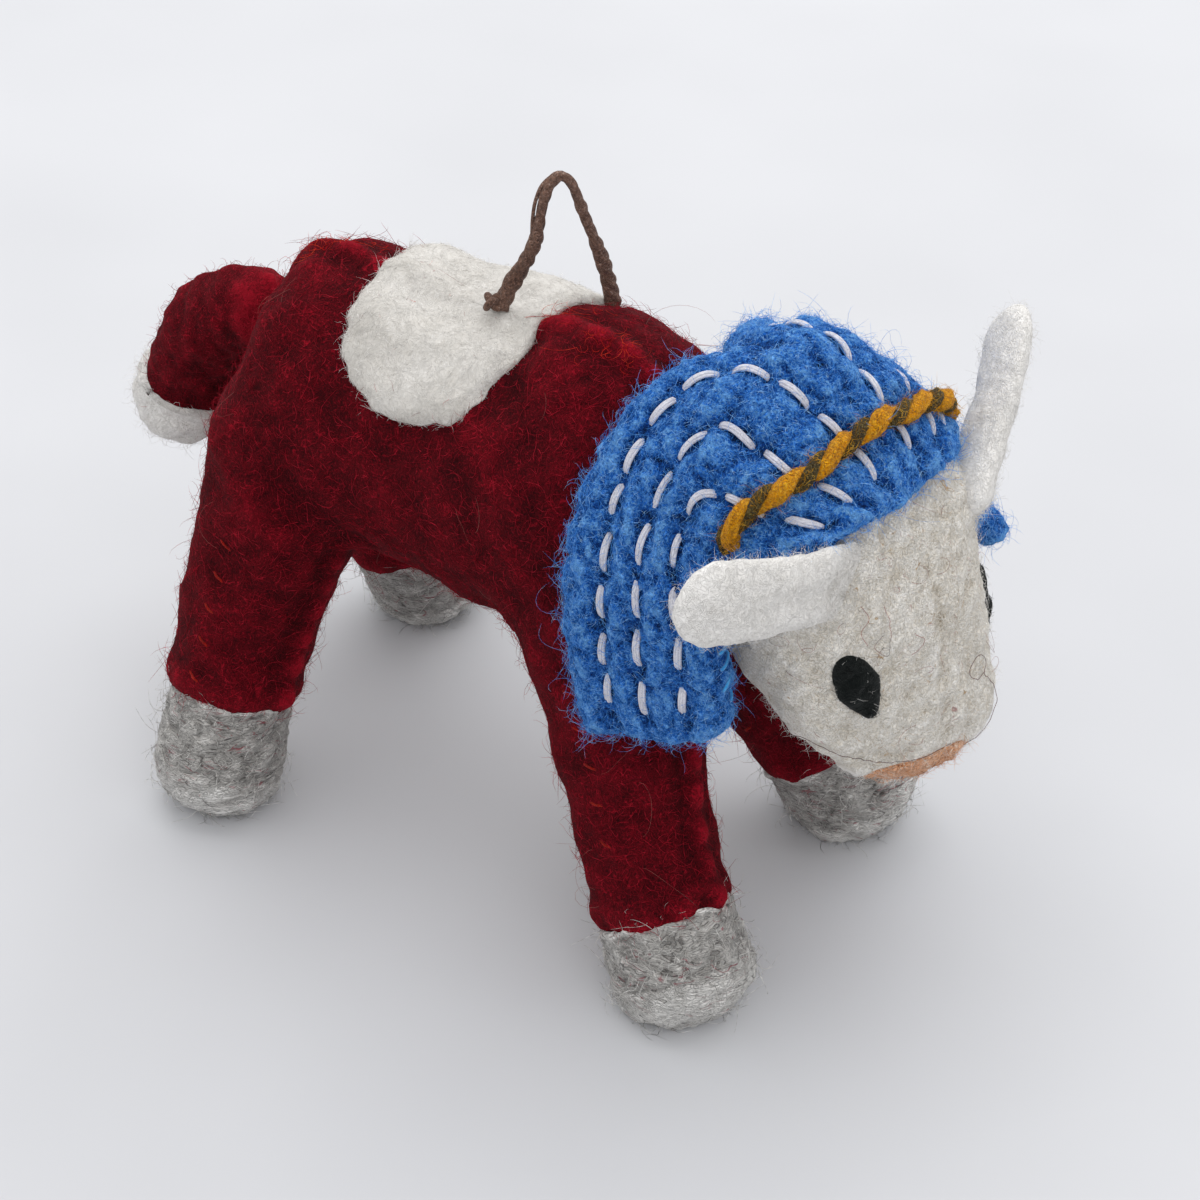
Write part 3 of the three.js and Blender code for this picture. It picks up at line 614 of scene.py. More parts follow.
# The patch: carded white wool needled on, with fibres that show. It is a little greyer than the
# white felt, partly its own wool and partly painted shade that tones down the overhead light on its
# upward face.
patch_felt = wool("needled_white_wool", ["#9c9890", "#c8c4bd", "#dddad5", "#f3f1ee"], curl=2.6,
                  light=(0.12, 0.12, -0.12), fluff=0.3, uneven=0.5, deep=0.35, relief=0.03,
                  sheen=0.1)
# The face: the same wool, handled more, with beige and pink strays worked in.
face_felt = wool("face_wool_felt", ["#9a8c77", "#cfc7b9", "#e8e4dc", "#faf7f3"], curl=1.3,
                 light=(0.26, 0.22, -0.22), fluff=0.7, uneven=0.4,
                 flecks=[("#b08f63", 0.04), ("#b08a84", 0.02)], deep=0.7, sheen=0.15, relief=0.06)
# Royal blue wool felt, thick and fluffy: light curls over dark gaps, with painted shade deepest in
# the channels between the quilted pillows.
blue_felt = wool("blue_wool_felt", ["#020d2a", "#0c3880", "#2069c6", "#74b2f2"], curl=1.3,
                 light=(0.34, 0.3, 0.3), fluff=1.3, uneven=0.3, sheen=0.25,
                 sheen_colour="#4f93e8", deep=1.3, relief=0.14)
# Thin craft felt for the cut-outs: dense and matt black, and a fluffier peach.
black_felt = wool("black_wool_felt", ["#030404", "#0a0d0d", "#151a19", "#3a3f3d"],
                  light=(0.12, 0.12), sheen=0.08, relief=0.04)
peach_felt = wool("peach_wool_felt", ["#9a5c36", "#d3976e", "#e9b48f", "#fbe2cd"],
                  light=(0.4, 0.35, -0.4), fluff=1.2)
print("felts:", len(bpy.data.materials))

# %% [markdown]
# Threads and yarns are combed straight and twisted, so they are smoother than felt. The loose
# fibres of each wool are lighter than its surface, because the light shines through them.

# %% Threads and loose fibres
# Six-strand cotton floss: white, smooth, slightly bluish in its shade.
cotton_floss = wool("white_cotton_floss", ["#a3a3b2", "#cfcfda", "#e8e8ee", "#f8f8fb"],
                    light=(0.1, 0.1, -0.2), fluff=0.3, relief=0.03, roughness=0.6, sheen=0.1)
cyan_floss = wool("light_blue_floss", ["#0e5c9c", "#2786cc", "#4aa5e4", "#8fcdf5"],
                  light=(0.15, 0.15), fluff=0.3, relief=0.03)
# Sewing thread of the seams: orange-red, thin and a little hairy.
red_thread = wool("orange_red_thread", ["#4c0604", "#8c120b", "#b42213", "#cf3a20"],
                  light=(0.2, 0.15, -0.15), sheen=0.05)
# Wool knitting yarn, spun from loose fibres: mustard gold, and olive that is nearly brown.
yarns = {name: wool(f"{name}_wool_yarn", shades, curl=1.0, light=(0.35, 0.3, -0.3), fluff=0.9,
                    sheen=0.1)
         for name, shades in (("gold", ["#6b3c02", "#c07a04", "#eaa408", "#ffcb3c"]),
                              ("olive", ["#140f08", "#352911", "#57481d", "#9c8848"]))}
# Brown twine of twisted strands, a little waxy, with dark lines of painted shadow between its
# fibres.
brown_twine = wool("brown_waxed_twine", ["#1c120d", "#553d32", "#8b6a5a", "#cfbdb0"], curl=1.0,
                   light=(0.22, 0.18, -0.15), fluff=0.7, roughness=0.6, sheen=0.1, relief=0.06)
# Single fibres that came loose from each wool, and strays of other wools worked in with them.
red_fibre = loose_fibre("loose_red_wool", ["#52050f", "#920e20", "#c42438"], 0.9)
ember_fibre = loose_fibre("loose_orange_red_wool", ["#8d0f10", "#c4241a", "#dd4a2c"])
grey_fibre = loose_fibre("loose_grey_fleece", ["#5c5956", "#a9a6a2", "#dedcd8", "#f2f0ed"], 1.0)
white_fibre = loose_fibre("loose_white_wool", ["#d3d0ca", "#e8e5e1", "#f8f7f4"])
stray_fibre = loose_fibre("stray_mixed_wool", ["#7a3436", "#a05f58", "#55504f"], 3)
blue_fibre = loose_fibre("loose_blue_wool", ["#1d64c0", "#509cec", "#acd8fc"], 0.7)
black_fibre = loose_fibre("loose_black_wool", ["#060808", "#111615", "#2b302f"])
dark_hair = loose_fibre("dark_single_hair", ["#3f3334", "#6b4a48", "#4a4140"], 3)
gold_fibre = loose_fibre("loose_gold_wool", ["#7a5212", "#c98c14", "#f0bd4a"])
peach_fibre = loose_fibre("loose_peach_wool", ["#b87c54", "#e0a881", "#f6d6bd"])
print("materials:", len(bpy.data.materials))

# %% [markdown]
# ## The camera
# The photograph looks down at the animal from its right side and front, with a long lens. The
# camera's place, aim and angle were found by matching the forms' outlines to it.

# %% Camera
camera_place, camera_aim, half_view = (180.27, -233.61, 244.02), (9.3, 0.0, 33.23), 11
eye_point, aim_point = ((np.array(spot) + shift) / 1000 for spot in (camera_place, camera_aim))
camera = in_scene("camera", bpy.data.cameras.new("camera"))
camera.data.sensor_width = 36
camera.data.lens = 18 / math.tan(math.radians(half_view))
camera.data.clip_start, camera.data.clip_end = 0.01, 10
camera.location = eye_point
camera.rotation_euler = (camera.location - Vector(aim_point)).to_track_quat("Z", "Y").to_euler()
bpy.context.scene.camera = camera
print("camera", eye_point.round(3), "lens", round(camera.data.lens, 1))

# %% [markdown]
# ## The hanging loop
# A stiff brown twine comes out of the saddle patch on the ridge, rises to a narrow top and goes
# back in at the patch's front left edge. Its strands are laid side by side with a slow twist, and
# the tube's section is drawn with one bulge for each strand. It stands by its own stiffness, as the
# photograph shows. Both feet are sewn in; its lowest ten millimetres are given as a bend, which the
# pieces here do not use.

# %% Twine
loop_route = np.array([
    [-4.0, -0.4, 67.8], [-3.9, 0.1, 69.0], [-3.6, 0.8, 70.4], [-3.0, 1.7, 72.0], [-1.9, 2.0, 74.2],
    [-1.0, 2.2, 76.6], [-0.6, 2.4, 79.0], [-0.3, 2.7, 81.2], [0.2, 3.2, 83.2], [1.0, 4.0, 84.2],
    [1.8, 4.9, 83.2], [2.2, 5.6, 81.2], [2.6, 6.4, 78.6], [3.1, 7.3, 75.8], [3.6, 8.2, 72.8],
    [3.9, 9.0, 69.8], [4.0, 9.7, 66.8], [4.0, 10.1, 64.2],
])
twine_diameter, twine_strands, twine_pitch, sewn_in = 1.6, 4, 7.0, 10
twine_swell = [1.2, 1.25, 1.1, 0.85, 0.8, 0.75, 0.8, 0.9, 1.15, 1.2, 1.0]
aslant = (0.25, -0.9, 0.1)  # no stretch of the loop runs this way


def twine(line, rings=150, sides=24, depth=0.22):
    """A tube whose radius is r (1 - d + d |cos(n a / 2)|): n bulges round the section, turning once
    in each pitch along the path, with a slow random swell."""
    share = np.linspace(0, 1, rings)
    centre = place(line, share)
    twist = 2 * np.pi * share[:, None] * line[1][-1] / twine_pitch
    around = np.abs(np.cos(twine_strands * (round_angles(sides)[None] - twist) / 2))
    swell = 1 + 0.07 * np.sin(share * 37 + 5) + 0.05 * np.sin(share * 91 + 5)
    size = twine_diameter / 2 * (1 - depth + depth * around)
    size = size * (reading(twine_swell, share) * swell)[:, None]
    rings_round = ringed(centre, *square_to(heading(line, share), aslant), size[..., None], sides)
    return closed(rings_round, centre[[0, -1]])


loop_line = path(loop_route)
loop_foot, loop_axis = (np.array(joints["loop_swing"][key]) for key in ("pos_m", "axis"))
loop_up = unit(upright - loop_axis * loop_axis[2])
loop_bend = ("animal", "loop", loop_foot, loop_foot + sewn_in / 1000 * loop_up)
loop = piece("hanging_twine", twine(loop_line), brown_twine, loop_bend, ["hanging_loop"])

# %% [markdown]
# ## Loose strands and the knot
# One strand has come away here and there along the twine, and a small knot closes the loop's foot
# on the ridge. The knot's line is the trefoil, sin t + 2 sin 2t and cos t - 2 cos 2t.


# %% Loose strands and the knot
def strand(centre, radius, sides=6):
    """A thin round tube along given points."""
    tangent = unit(np.gradient(centre, axis=0))
    return closed(ringed(centre, *square_to(tangent, aslant), radius, sides), centre[[0, -1]])


apart = []
for begin, end, way in ((0.2, 0.5, (-0.72, -0.45, 0.18)), (0.3, 0.56, (0.35, 0.42, 0.14)),
                        (0.6, 0.9, (0.48, -0.4, 0.08))):
    share = np.linspace(begin, end, 40)
    bow = np.sin(np.pi * (share - begin) / (end - begin)) ** 0.8
    apart.append(strand(place(loop_line, share) + bow[:, None] * np.array(way), 0.22))
t = np.append(round_angles(90), 0)
knot_line = 0.33 * np.stack([np.sin(t) + 2 * np.sin(2 * t), np.cos(t) - 2 * np.cos(2 * t),
                             -1.6 * np.sin(3 * t)], -1)
apart.append(strand(knot_line + np.array([-4.7, -1.0, 68.8]), 0.42, 8))
piece("twine_knot_and_strands", joined(*apart), brown_twine, loop_bend)

# %% [markdown]
# ## The red coat
# The coat is sewn from felt panels and stuffed as one bag: trunk and legs run into each other with
# soft hollows. Tubes that only cross would leave hard creases, so the forms are fused on fine
# cubes and relaxed, most of all in the hollows between them.

# %% Trunk and leg forms
spine = np.array([(-37.5, 0, 49.58), (-24, 0, 49.84), (-7.5, 0, 48.54), (7.5, 0, 48.54),
                  (21, 0, 49.84), (28.5, 0, 52.96), (33, 0, 56.86), (35.625, 0, 60.24)])
trunk_half = 17
trunk_widths = np.array([0.94, 1, 1, 0.97, 0.96, 0.98, 1.02, 0.96, 0.82, 0.68, 0.6]) * trunk_half
trunk_depths = np.array([0.98, 1.06, 1.02, 0.97, 0.97, 1, 1.06, 1.02, 0.86, 0.7, 0.58]) * 17.4
trunk = form(spine, trunk_widths, trunk_depths, 11.5, 5, 60, 72)
foot_height, leg_rise_height = 2.6, 44.4
leg_rise, leg_spread = np.array([1, 0.66, 0.32, 0]), np.array([0, 0.2, 0.58, 1])
leg_swell = np.array([1, 0.55, 0.14, 0])
leg_sizes = {  # foot x and y, top x and y, half width, swell, left foot's setback, hoof, reach
    "front": (36.5, 20.4, 13.5, 9.6, 7.4, 3.2, 2.5, 7.8, (0, 0.31, 0.61, 1)),
    "rear": (-31.5, 24.4, -25.5, 10.2, 7.6, 3.6, 4.8, 11.6, (0, 0.78, 1.04, 1)),
}
legs = {}
for end, (foot_x, foot_y, top_x, top_y, half, swell, setback, hoof, reach) in leg_sizes.items():
    for side, sign in both_sides.items():
        step = foot_x - top_x - (setback if sign > 0 else 0)
        centres = np.stack([top_x + step * np.array(reach),
                            sign * (top_y + (foot_y - top_y) * leg_spread),
                            foot_height + leg_rise_height * leg_rise], -1)
        wide, deep = half + leg_swell * swell * 0.6, half + leg_swell * swell
        skin = form(centres, wide, deep, half, 5, 40, 40)
        higher = 1.8 if end == "front" and sign > 0 else 0  # this hoof reaches up its leg
        facing = unit(np.cross(centres[-1] - centres[0], (sign, 0, 0)))  # across its two seams
        legs[f"{end}_{side}"] = {"skin": skin, "line": path(centres), "half": half,
                                 "swell": swell, "hoof": hoof + higher, "facing": facing}
print("legs:", {name: leg["line"][1][-1].round(1) for name, leg in legs.items()})

# %% [markdown]
# ## One stuffed bag
# The forms are fused on cubes of about 0.6 mm. A hollow is where a point lies near the skin of a
# leg and of the trunk at once; there the skin is relaxed sixty times, so the felt bridges softly.


# %% Fuse and relax the coat
def nearest(points, line, samples=70):
    """For each point, the share along a path of its nearest place, and that place."""
    share = np.linspace(0, 1, samples)
    places = place(line, share)
    closest = np.argmin(((points[:, None] - places[None]) ** 2).sum(-1), axis=1)
    return share[closest], places[closest]


haunches = [form([(-28, sign * 8, 54), (-29.3, sign * 10.5, 47), (-30, sign * 12.5, 39)],
                 [9, 9, 9], [9, 9, 9], 8, 8, 14, 36) for sign in both_sides.values()]
coat, coat_faces = fused(0.62, trunk, *haunches, *[leg["skin"] for leg in legs.values()])
from_spine = np.linalg.norm(coat - nearest(coat, path(spine))[1], axis=1) - trunk_half
hollow = np.zeros(len(coat))
for leg in legs.values():
    share, centre = nearest(coat, leg["line"])
    leg_radius = leg["half"] + leg["swell"] * reading(leg_swell, share)
    from_leg = np.linalg.norm(coat - centre, axis=1) - leg_radius
    hollow = np.maximum(hollow, 1 - eased(np.abs(from_leg) + np.abs(from_spine), 2.5, 9))
coat = relaxed(coat, coat_faces, 4)
coat = relaxed(coat, coat_faces, 60, (hollow * 0.5)[:, None])
# The back is stuffed unevenly: fuller on its left behind the loop, and over the ridge before it.
above_spine = coat[:, 2] - np.interp(coat[:, 0], spine[:, 0], spine[:, 2])
out_of_spine = unit(np.stack([0 * above_spine, coat[:, 1], above_spine], -1))
leftward = np.degrees(np.arctan2(coat[:, 1], above_spine))
fuller = np.interp(coat[:, 0], [-36, -32, -29, -24, -18, -13, -8, -4, 0, 3, 6, 9.6, 15, 21],
                   [-0.3, -1.2, -1.6, -0.7, 0.2, 0.7, 1.4, 1.9, 2.2, 2.4, 2.5, 2.2, 1.0, 0])
begin = np.interp(coat[:, 0], [-2, 5], [-2, -38])
fuller = fuller * eased(leftward, begin, begin + 34) * (1 - eased(leftward, 55, 100))
coat = pushed(coat, out_of_spine, fuller)
print("coat:", len(coat), "points")

# %% [markdown]
# ## Seams of the coat
# The panels are whip stitched edge to edge, so every seam is a raised welt, pinched at each
# stitch. A welt is a bell curve across the seam times a row of arches along it. Seams run down the
# front and the rear of each leg, along the spine and down the rump.

# %% Welts
normal = normals_of(coat, coat_faces)
height = coat[:, 2]
outward = np.zeros(len(coat))
for leg in legs.values():
    share, centre = nearest(coat, leg["line"], 160)
    away, length = coat - centre, leg["line"][1][-1]
    aside = away @ leg["facing"]
    leg_radius = leg["half"] + leg["swell"] * reading(leg_swell, share)
    on_leg = 1 - eased(np.linalg.norm(away, axis=1) - leg_radius, 1.5, 4)
    welt = 0.95 * bell(aside, 1.25) * arches(share * length)
    trough = 0.25 * bell(np.abs(aside) - 2.6, 1.1)
    outward += (welt - trough) * on_leg * (1 - eased(height, 34, 42))
    # The felt swells a little over the hoof's top edge, and slips inside the hoof past it.
    past = (share - (1 - leg["hoof"] / leg_rise_height)) * length + 0.6 * lumps(coat, 8, 7)
    cuff = 0.5 * bell(past + 1.6, 1.7) + 0.2 * lumps(coat, 4, 8) * bell(past + 1.5, 2)
    outward += on_leg * (height < 30) * np.where(past < 0, cuff, -1.7 * eased(past, 0.2, 1.6))
from_ridge = np.abs(coat[:, 1])
above = np.maximum(eased(normal[:, 2], 0.1, 0.5), eased(-normal[:, 0], 0.3, 0.7)) * (height > 38)
outward += 0.9 * bell(from_ridge, 1.3) * above * arches(coat[:, 0] - height, 4.8)
outward -= 0.3 * bell(from_ridge - 2.8, 1.2) * above
below = eased(-normal[:, 2], 0.3, 0.7) * (height > 24) * (height < 40)
outward += 0.5 * bell(from_ridge - 5.5, 1.1) * below * arches(coat[:, 0])
outward += 0.28 * lumps(coat, 9, 1) + 0.09 * lumps(coat, 3.2, 2) + 0.03 * lumps(coat, 1.4, 3)
coat = relaxed(pushed(coat, normal, outward), coat_faces, 1, 0.3)
coat[:, 2] = np.maximum(coat[:, 2], 0.4)
coat_skin = coat, coat_faces
coat_nodes = ["trunk_panel_right", "trunk_panel_left", "belly_panel", "trunk_stuffing"]
coat_nodes += [f"leg_{name}_{part}" for name in legs for part in ("outer", "inner", "stuffing")]
coat_piece = piece("red_coat", coat_skin, red_felt, "animal", coat_nodes, 14)

# %% [markdown]
# ## Seam stitches
# The panels are whip stitched with orange-red thread. Each stitch crosses the welt at a pinch,
# on a slant: its line is laid on the coat and rises over the welt as half a sine wave.

# %% Whip stitches of the legs
crossings = []
for leg in legs.values():
    run = np.arange(14, leg_rise_height - leg["hoof"] - 1, 4.4)
    share = run / leg["line"][1][-1]
    middle, tangent = place(leg["line"], share), heading(leg["line"], share)
    across = unit(np.cross(tangent, leg["facing"]))
    slant = np.linspace(-1, 1, 9)[None, :, None] * (across * 0.9 + tangent * 0.35)[:, None]
    for way in (-1, 1):
        seam = middle + way * leg["facing"] * (leg["half"] + 1.5)
        crossings.append(seam[:, None] + slant)
crossings = np.concatenate(crossings)
laid_down = wrapped(coat_piece, crossings)
bow = 0.3 * np.sin(np.linspace(0, np.pi, 9)) - 0.18
rise = unit(crossings.mean(1) - laid_down.mean(1))[:, None] * bow[:, None]
piece("leg_seam_stitches", joined(*[strand(line, 0.16) for line in laid_down + rise]),
      red_thread)

# %% [markdown]
# ## Fuzz of the coat
# Long strands lie flat and cross each other, and short ones stand up along every outline. Some
# orange-red wool shows along the ridge, where another tuft was carded in.


# %% Fuzz of the coat
def shown_coat(centres):
    """Where the coat is bare: above the hooves and not under the headcloth."""
    return (centres[:, 2] > 11) & ~((centres[:, 0] > 24) & (centres[:, 2] > 44))


def one_side(shown, sign):
    """The right (-1) or left (1) part of what is shown."""
    return lambda centres: shown(centres) & (centres[:, 1] * sign > 0)


for part, sign in both_sides.items():
    fuzz(f"red_coat_strands_{part}", coat_skin, red_fibre, 5200, (1.5, 5.0), 0.06,
         (0.3, 3.5), (0.0, 0.16), 12 + sign, steps=5, keep=one_side(shown_coat, sign), sink=0.03)
    fuzz(f"red_coat_fuzz_{part}", coat_skin, red_fibre, 3400, (0.6, 1.8), 0.05,
         (0.3, 2.5), (0.2, 0.9), 16 + sign, keep=one_side(shown_coat, sign))
fuzz("orange_red_wisps", coat_skin, ember_fibre, 800, (1.5, 5.0), 0.07, (1.0, 4.5),
     (0.02, 0.2), 14, steps=6, sink=0.02,
     keep=lambda c: shown_coat(c) & (np.abs(c[:, 1] - 1) < 4.5) & (lumps(c, 8, 4) > 0.1))
fuzz("coat_strays", coat_skin, stray_fibre, 90, (4, 11), 0.045, (1.0, 5.0), (0.1, 0.6), 15,
     steps=10, keep=shown_coat)

# %% [markdown]
# ## Hooves
# Grey fleece is felted over the end of each leg. It lies in strands that wander like worms, with
# dark crevices between them, and it wraps the leg loosely at the top.

# %% Hoof forms
hoof_skins = []
for number, (name, leg) in enumerate(legs.items()):
    ankle, foot = place(leg["line"], np.array([1 - leg["hoof"] / leg_rise_height, 1.0]))
    down = unit(foot - ankle)
    bottom = foot + down * (foot[2] + 0.5) / -down[2]
    wide = leg["half"] + (0.45 if name.startswith("front") else -0.1)
    halves = [wide - 0.25, wide, wide]
    points, faces = form([ankle, (ankle + bottom) / 2, bottom], halves, halves, 0, 5.5, 44, 96)
    wound = (points - ankle) @ down * 0.9 + 1.5 * lumps(points, 9, 20 + number)
    rope = np.abs(np.sin(np.pi * wound / 1.7)) * eased(lumps(points, 5, 29), -0.4, 0.5)
    crossing = np.abs(np.sin(np.pi * 1.6 * lumps(points, 6, 25 + number)))
    rim = eased(np.linalg.norm(points - ankle, axis=1), wide + 2.5, wide)
    swell = 0.2 + 0.36 * (0.4 * rope + 0.6 * crossing) + 0.2 * lumps(points, 3, 9) - 0.25 * rim
    points = pushed(points, normals_of(points, faces), swell)
    points = points - down * (0.7 * lumps(points, 7, 30 + number) * rim)[:, None]
    points[:, 2] = np.maximum(points[:, 2], 0)
    hoof_skins.append((points, faces))
    piece(f"hoof_cover_{name}", hoof_skins[-1], grey_felt, "animal", [f"hoof_{name}"], 10)
fuzz("hoof_fuzz", joined(*hoof_skins), grey_fibre, 2050, (2.0, 6.0), 0.07, (0.3, 3.5),
     (0.0, 0.2), 21, steps=6, sink=0.0)

# %% [markdown]
# ## The head
# Two white panels, stuffed firm: broad at the brow, narrowing to a blunt muzzle that turns a
# little to the right. The section is a squared oval that turns along the way.

# %% Head form
head_top, nose_end, head_turn = np.array([32.0, 0, 67.0]), np.array([52.0, 0, 28.4]), 27
head_shares = np.array([[0, 0], [0.2, 0.16], [0.4, 0.36], [0.67, 0.615], [0.9, 0.815],
                        [1.03, 0.975]])
head_steps = np.stack([head_shares[:, 0], np.zeros(6), head_shares[:, 1]], -1)
head_centres = head_top + head_steps * (nose_end - head_top)
head_widths = np.array([0.55, 0.9, 1.04, 1.03, 1.01, 0.99, 0.95, 0.83, 0.62]) * 13
head_depths = np.array([0.4, 0.7, 0.93, 0.98, 0.94, 0.82, 0.62, 0.42, 0.28]) * 12
head, head_faces = form(head_centres, head_widths, head_depths, 8, 3.2, 90, 130,
                        squareness=2.5, turn=head_turn)
head_normal = normals_of(head, head_faces)
# The stuffing is uneven: full at the left temple, thin along the right jaw and the chin.
for spot, amount, reach in (((47.5, 10.5, 58.5), 2.2, 5.5), ((50.5, 11.5, 52), 1.1, 6),
                            ((46.5, -9.5, 31.5), -1.7, 6), ((52, -5, 29.5), -0.9, 5)):
    near = bell(np.linalg.norm(head - np.array(spot), axis=1), reach)
    head = pushed(head, head_normal, amount * near)
seam = bell(head[:, 1], 0.8) * eased(head_normal[:, 0], 0.1, 0.4)
uneven = 0.3 * lumps(head, 9, 31) + 0.2 * lumps(head, 3.4, 32) + 0.09 * lumps(head, 1.5, 33)
head_skin = pushed(head, head_normal, 0.35 + uneven - 0.25 * seam), head_faces
head_nodes = ["head_panel_right", "head_panel_left", "head_stuffing"]
head_piece = piece("head_cover", head_skin, face_felt, "animal", head_nodes, 14)


def shown_head(centres):
    """The part of the head in front of the headcloth."""
    return (centres[:, 0] > 38) & (centres[:, 2] < 66)


fuzz("head_fuzz", head_skin, white_fibre, 8000, (0.8, 3.2), 0.05, (0.6, 4.0), (0.02, 0.4),
     34, steps=4, keep=shown_head)
fuzz("face_strays", head_skin, stray_fibre, 60, (2.5, 7.0), 0.045, (2.0, 7.0), (0.1, 0.4),
     35, steps=12, keep=shown_head, sink=0)

# %% [markdown]
# ## Eyes and nose
# They are cut from sheet felt and glued on: two black drops, and a narrow peach strip. A flat
# outline is filled with rings, cast onto the head along the way it faces, and lifted by the
# felt's thickness with a rounded rim.


# %% Felt cut-outs laid on a form
def layered(base, outward, ring, thick, sink):
    """A layer of felt over a wrapped grid: its top is lifted by the thickness with a rounded rim,
    t times the square root of 1 - r^6, and the same grid pressed below the surface closes it."""
    top = base + outward * (thick * np.sqrt(np.clip(1 - ring**6, 0, 1))[:, None])[..., None]
    low = base - outward * sink
    return closed(np.concatenate([top, low[::-1]]), np.stack([top[0].mean(0), low[0].mean(0)]))


def laid(target, outline, centre, facing, thick, rounds=20, sides=90, sink=0.4, reach=30):
    """A cut-out whose outline is a closed curve in the plane that faces the given way."""
    facing = unit(np.asarray(facing, float))
    right, above = square_to(facing, -upright)
    ring = np.sin(np.linspace(0.04, 1, rounds) * np.pi / 2)
    flat = ring[:, None, None] * outline(round_angles(sides))[None]
    start = np.array(centre) + facing * reach + flat[..., :1] * right - flat[..., 1:] * above
    base = wrapped(target, start, (right, -above, facing))
    missed = np.linalg.norm(base - start, axis=-1, keepdims=True) < 0.01  # past the form
    base = np.where(missed, wrapped(target, start - facing * reach), base)
    along_ring = np.roll(base, -1, 1) - np.roll(base, 1, 1)
    out = unit(np.cross(np.gradient(base, axis=0), along_ring))
    out = unit(out * np.sign(out @ facing)[..., None] + facing)
    return layered(base, out, ring, thick, sink)


def drop(width, height, lean):
    """A drop's outline: an oval whose lower half narrows, x = w (0.52 + 0.2 sin a) cos a there,
    leaning by an angle."""
    def outline(angle):
        sine = np.sin(angle)
        x = width * (0.52 + 0.2 * np.minimum(sine, 0) + 0.02 * sine) * np.cos(angle)
        y = height / 2 * sine
        c, s = math.cos(math.radians(lean)), math.sin(math.radians(lean))
        return np.stack([x * c - y * s, x * s + y * c], -1)
    return outline


def strip(angle):
    """The nose's outline: a lens that is blunter at one end, with an uneven edge."""
    narrow = 2.1 + 0.3 * np.sin(3 * angle) + 0.5 * np.cos(angle)
    return np.stack([6.4 * np.cos(angle), narrow * np.sin(angle)], -1)


for side, x, height in (("right", 50.8, 8.7), ("left", 52.0, 7.6)):
    sign = both_sides[side]
    points, faces = laid(head_piece, drop(4.3, height, -24 * sign), (x, sign * 11.0, 45.7),
                         (0.5, sign, 0.1), 0.8)
    points = pushed(points, unit(np.array([0.42, sign, 0])), 0.06 * lumps(points, 1.2, 40))
    eye = points, faces
    piece(f"eye_drop_{side}", eye, black_felt, "animal", [f"eye_{side}"])
    fuzz(f"eye_fuzz_{side}", eye, black_fibre, 400, (0.4, 1.6), 0.05, (0.5, 4.0),
         (0.02, 0.35), 38, steps=4, sink=0.05)
    fuzz(f"eye_strays_{side}", eye, white_fibre, 12, (1.5, 3.5), 0.03, (2.5, 6.0),
         (0.05, 0.4), 39, steps=10, sink=0)
nose_turn = math.radians(30)
nose_way = np.array([math.cos(nose_turn), -math.sin(nose_turn), 0.15])
points, faces = laid(head_piece, strip, (54.2, -1.9, 31.2), nose_way, 0.5)
nose = pushed(points, nose_way, 0.25 * lumps(points, 2.2, 41)), faces
piece("nose_strip", nose, peach_felt, "animal", ["nose_patch"])
fuzz("nose_fuzz", nose, peach_fibre, 800, (0.8, 3.0), 0.05, (1.0, 4.0), (0.02, 0.35), 36,
     steps=4)

# %% [markdown]
# ## Long hairs on the face
# A few red and grey hairs were worked in with the white wool and lie loose on the face: one winds
# into a ring beside the far eye, one follows the jaw. Each is a thin tube along a line through a
# few places, laid on the head and lifted by half a millimetre.

# %% Long hairs
ring_hair = [(55.9 + 0.3 * math.sin(a), 4.9 + 1.4 * math.cos(a), 41.2 + 1.4 * math.sin(a))
             for a in np.linspace(5.4, -1.2, 9)]
long_hairs = [
    ring_hair + [(56.6, 6.6, 38.5), (57.2, 7.2, 35.5), (56.9, 5.4, 32.6), (56.2, 3.5, 31.0)],
    [(44.2, -11.8, 37.6), (46.2, -12.0, 38.2), (48.8, -11.2, 36.2), (51.2, -8.8, 34.4),
     (54.0, -4.6, 33.4), (56.0, 0.4, 33.6)],
    [(49.3, -9.0, 55.1), (50.1, -8.6, 53.6), (50.0, -9.6, 52.2), (50.6, -9.2, 50.6)],
    [(51.4, -7.7, 51.4), (51.2, -8.6, 50.2), (51.9, -7.4, 48.9), (51.2, -6.6, 52.0),
     (50.6, -6.9, 54.4)],
    [(52.9, -4.4, 50.4), (53.4, -3.2, 49.0), (53.2, -4.8, 47.9)],
]
lines = np.stack([place(path(hair), np.linspace(0, 1, 70)) for hair in long_hairs])
lines = wrapped(head_piece, lines)
head_axis = nearest(lines.reshape(-1, 3), path(head_centres))[1].reshape(lines.shape)
lines = lines + 0.45 * unit(lines - head_axis)
for name, some, radius, wool_of_it in (("face_long_hairs", lines[:2], 0.035, dark_hair),
                                       ("face_red_hairs", lines[2:], 0.025, stray_fibre)):
    piece(name, joined(*[strand(line, radius, 5) for line in some]), wool_of_it)

# %% [markdown]
# ## Ears
# Each ear is a flat paddle of thick white felt, pinched at its root and rounded at its tip, with a
# shallow hollow down its front. Its root is sewn to the head: a bend from 3 to 12 millimetres out,
# half on each side of the ear's hinge, is given, which the pieces here do not use.

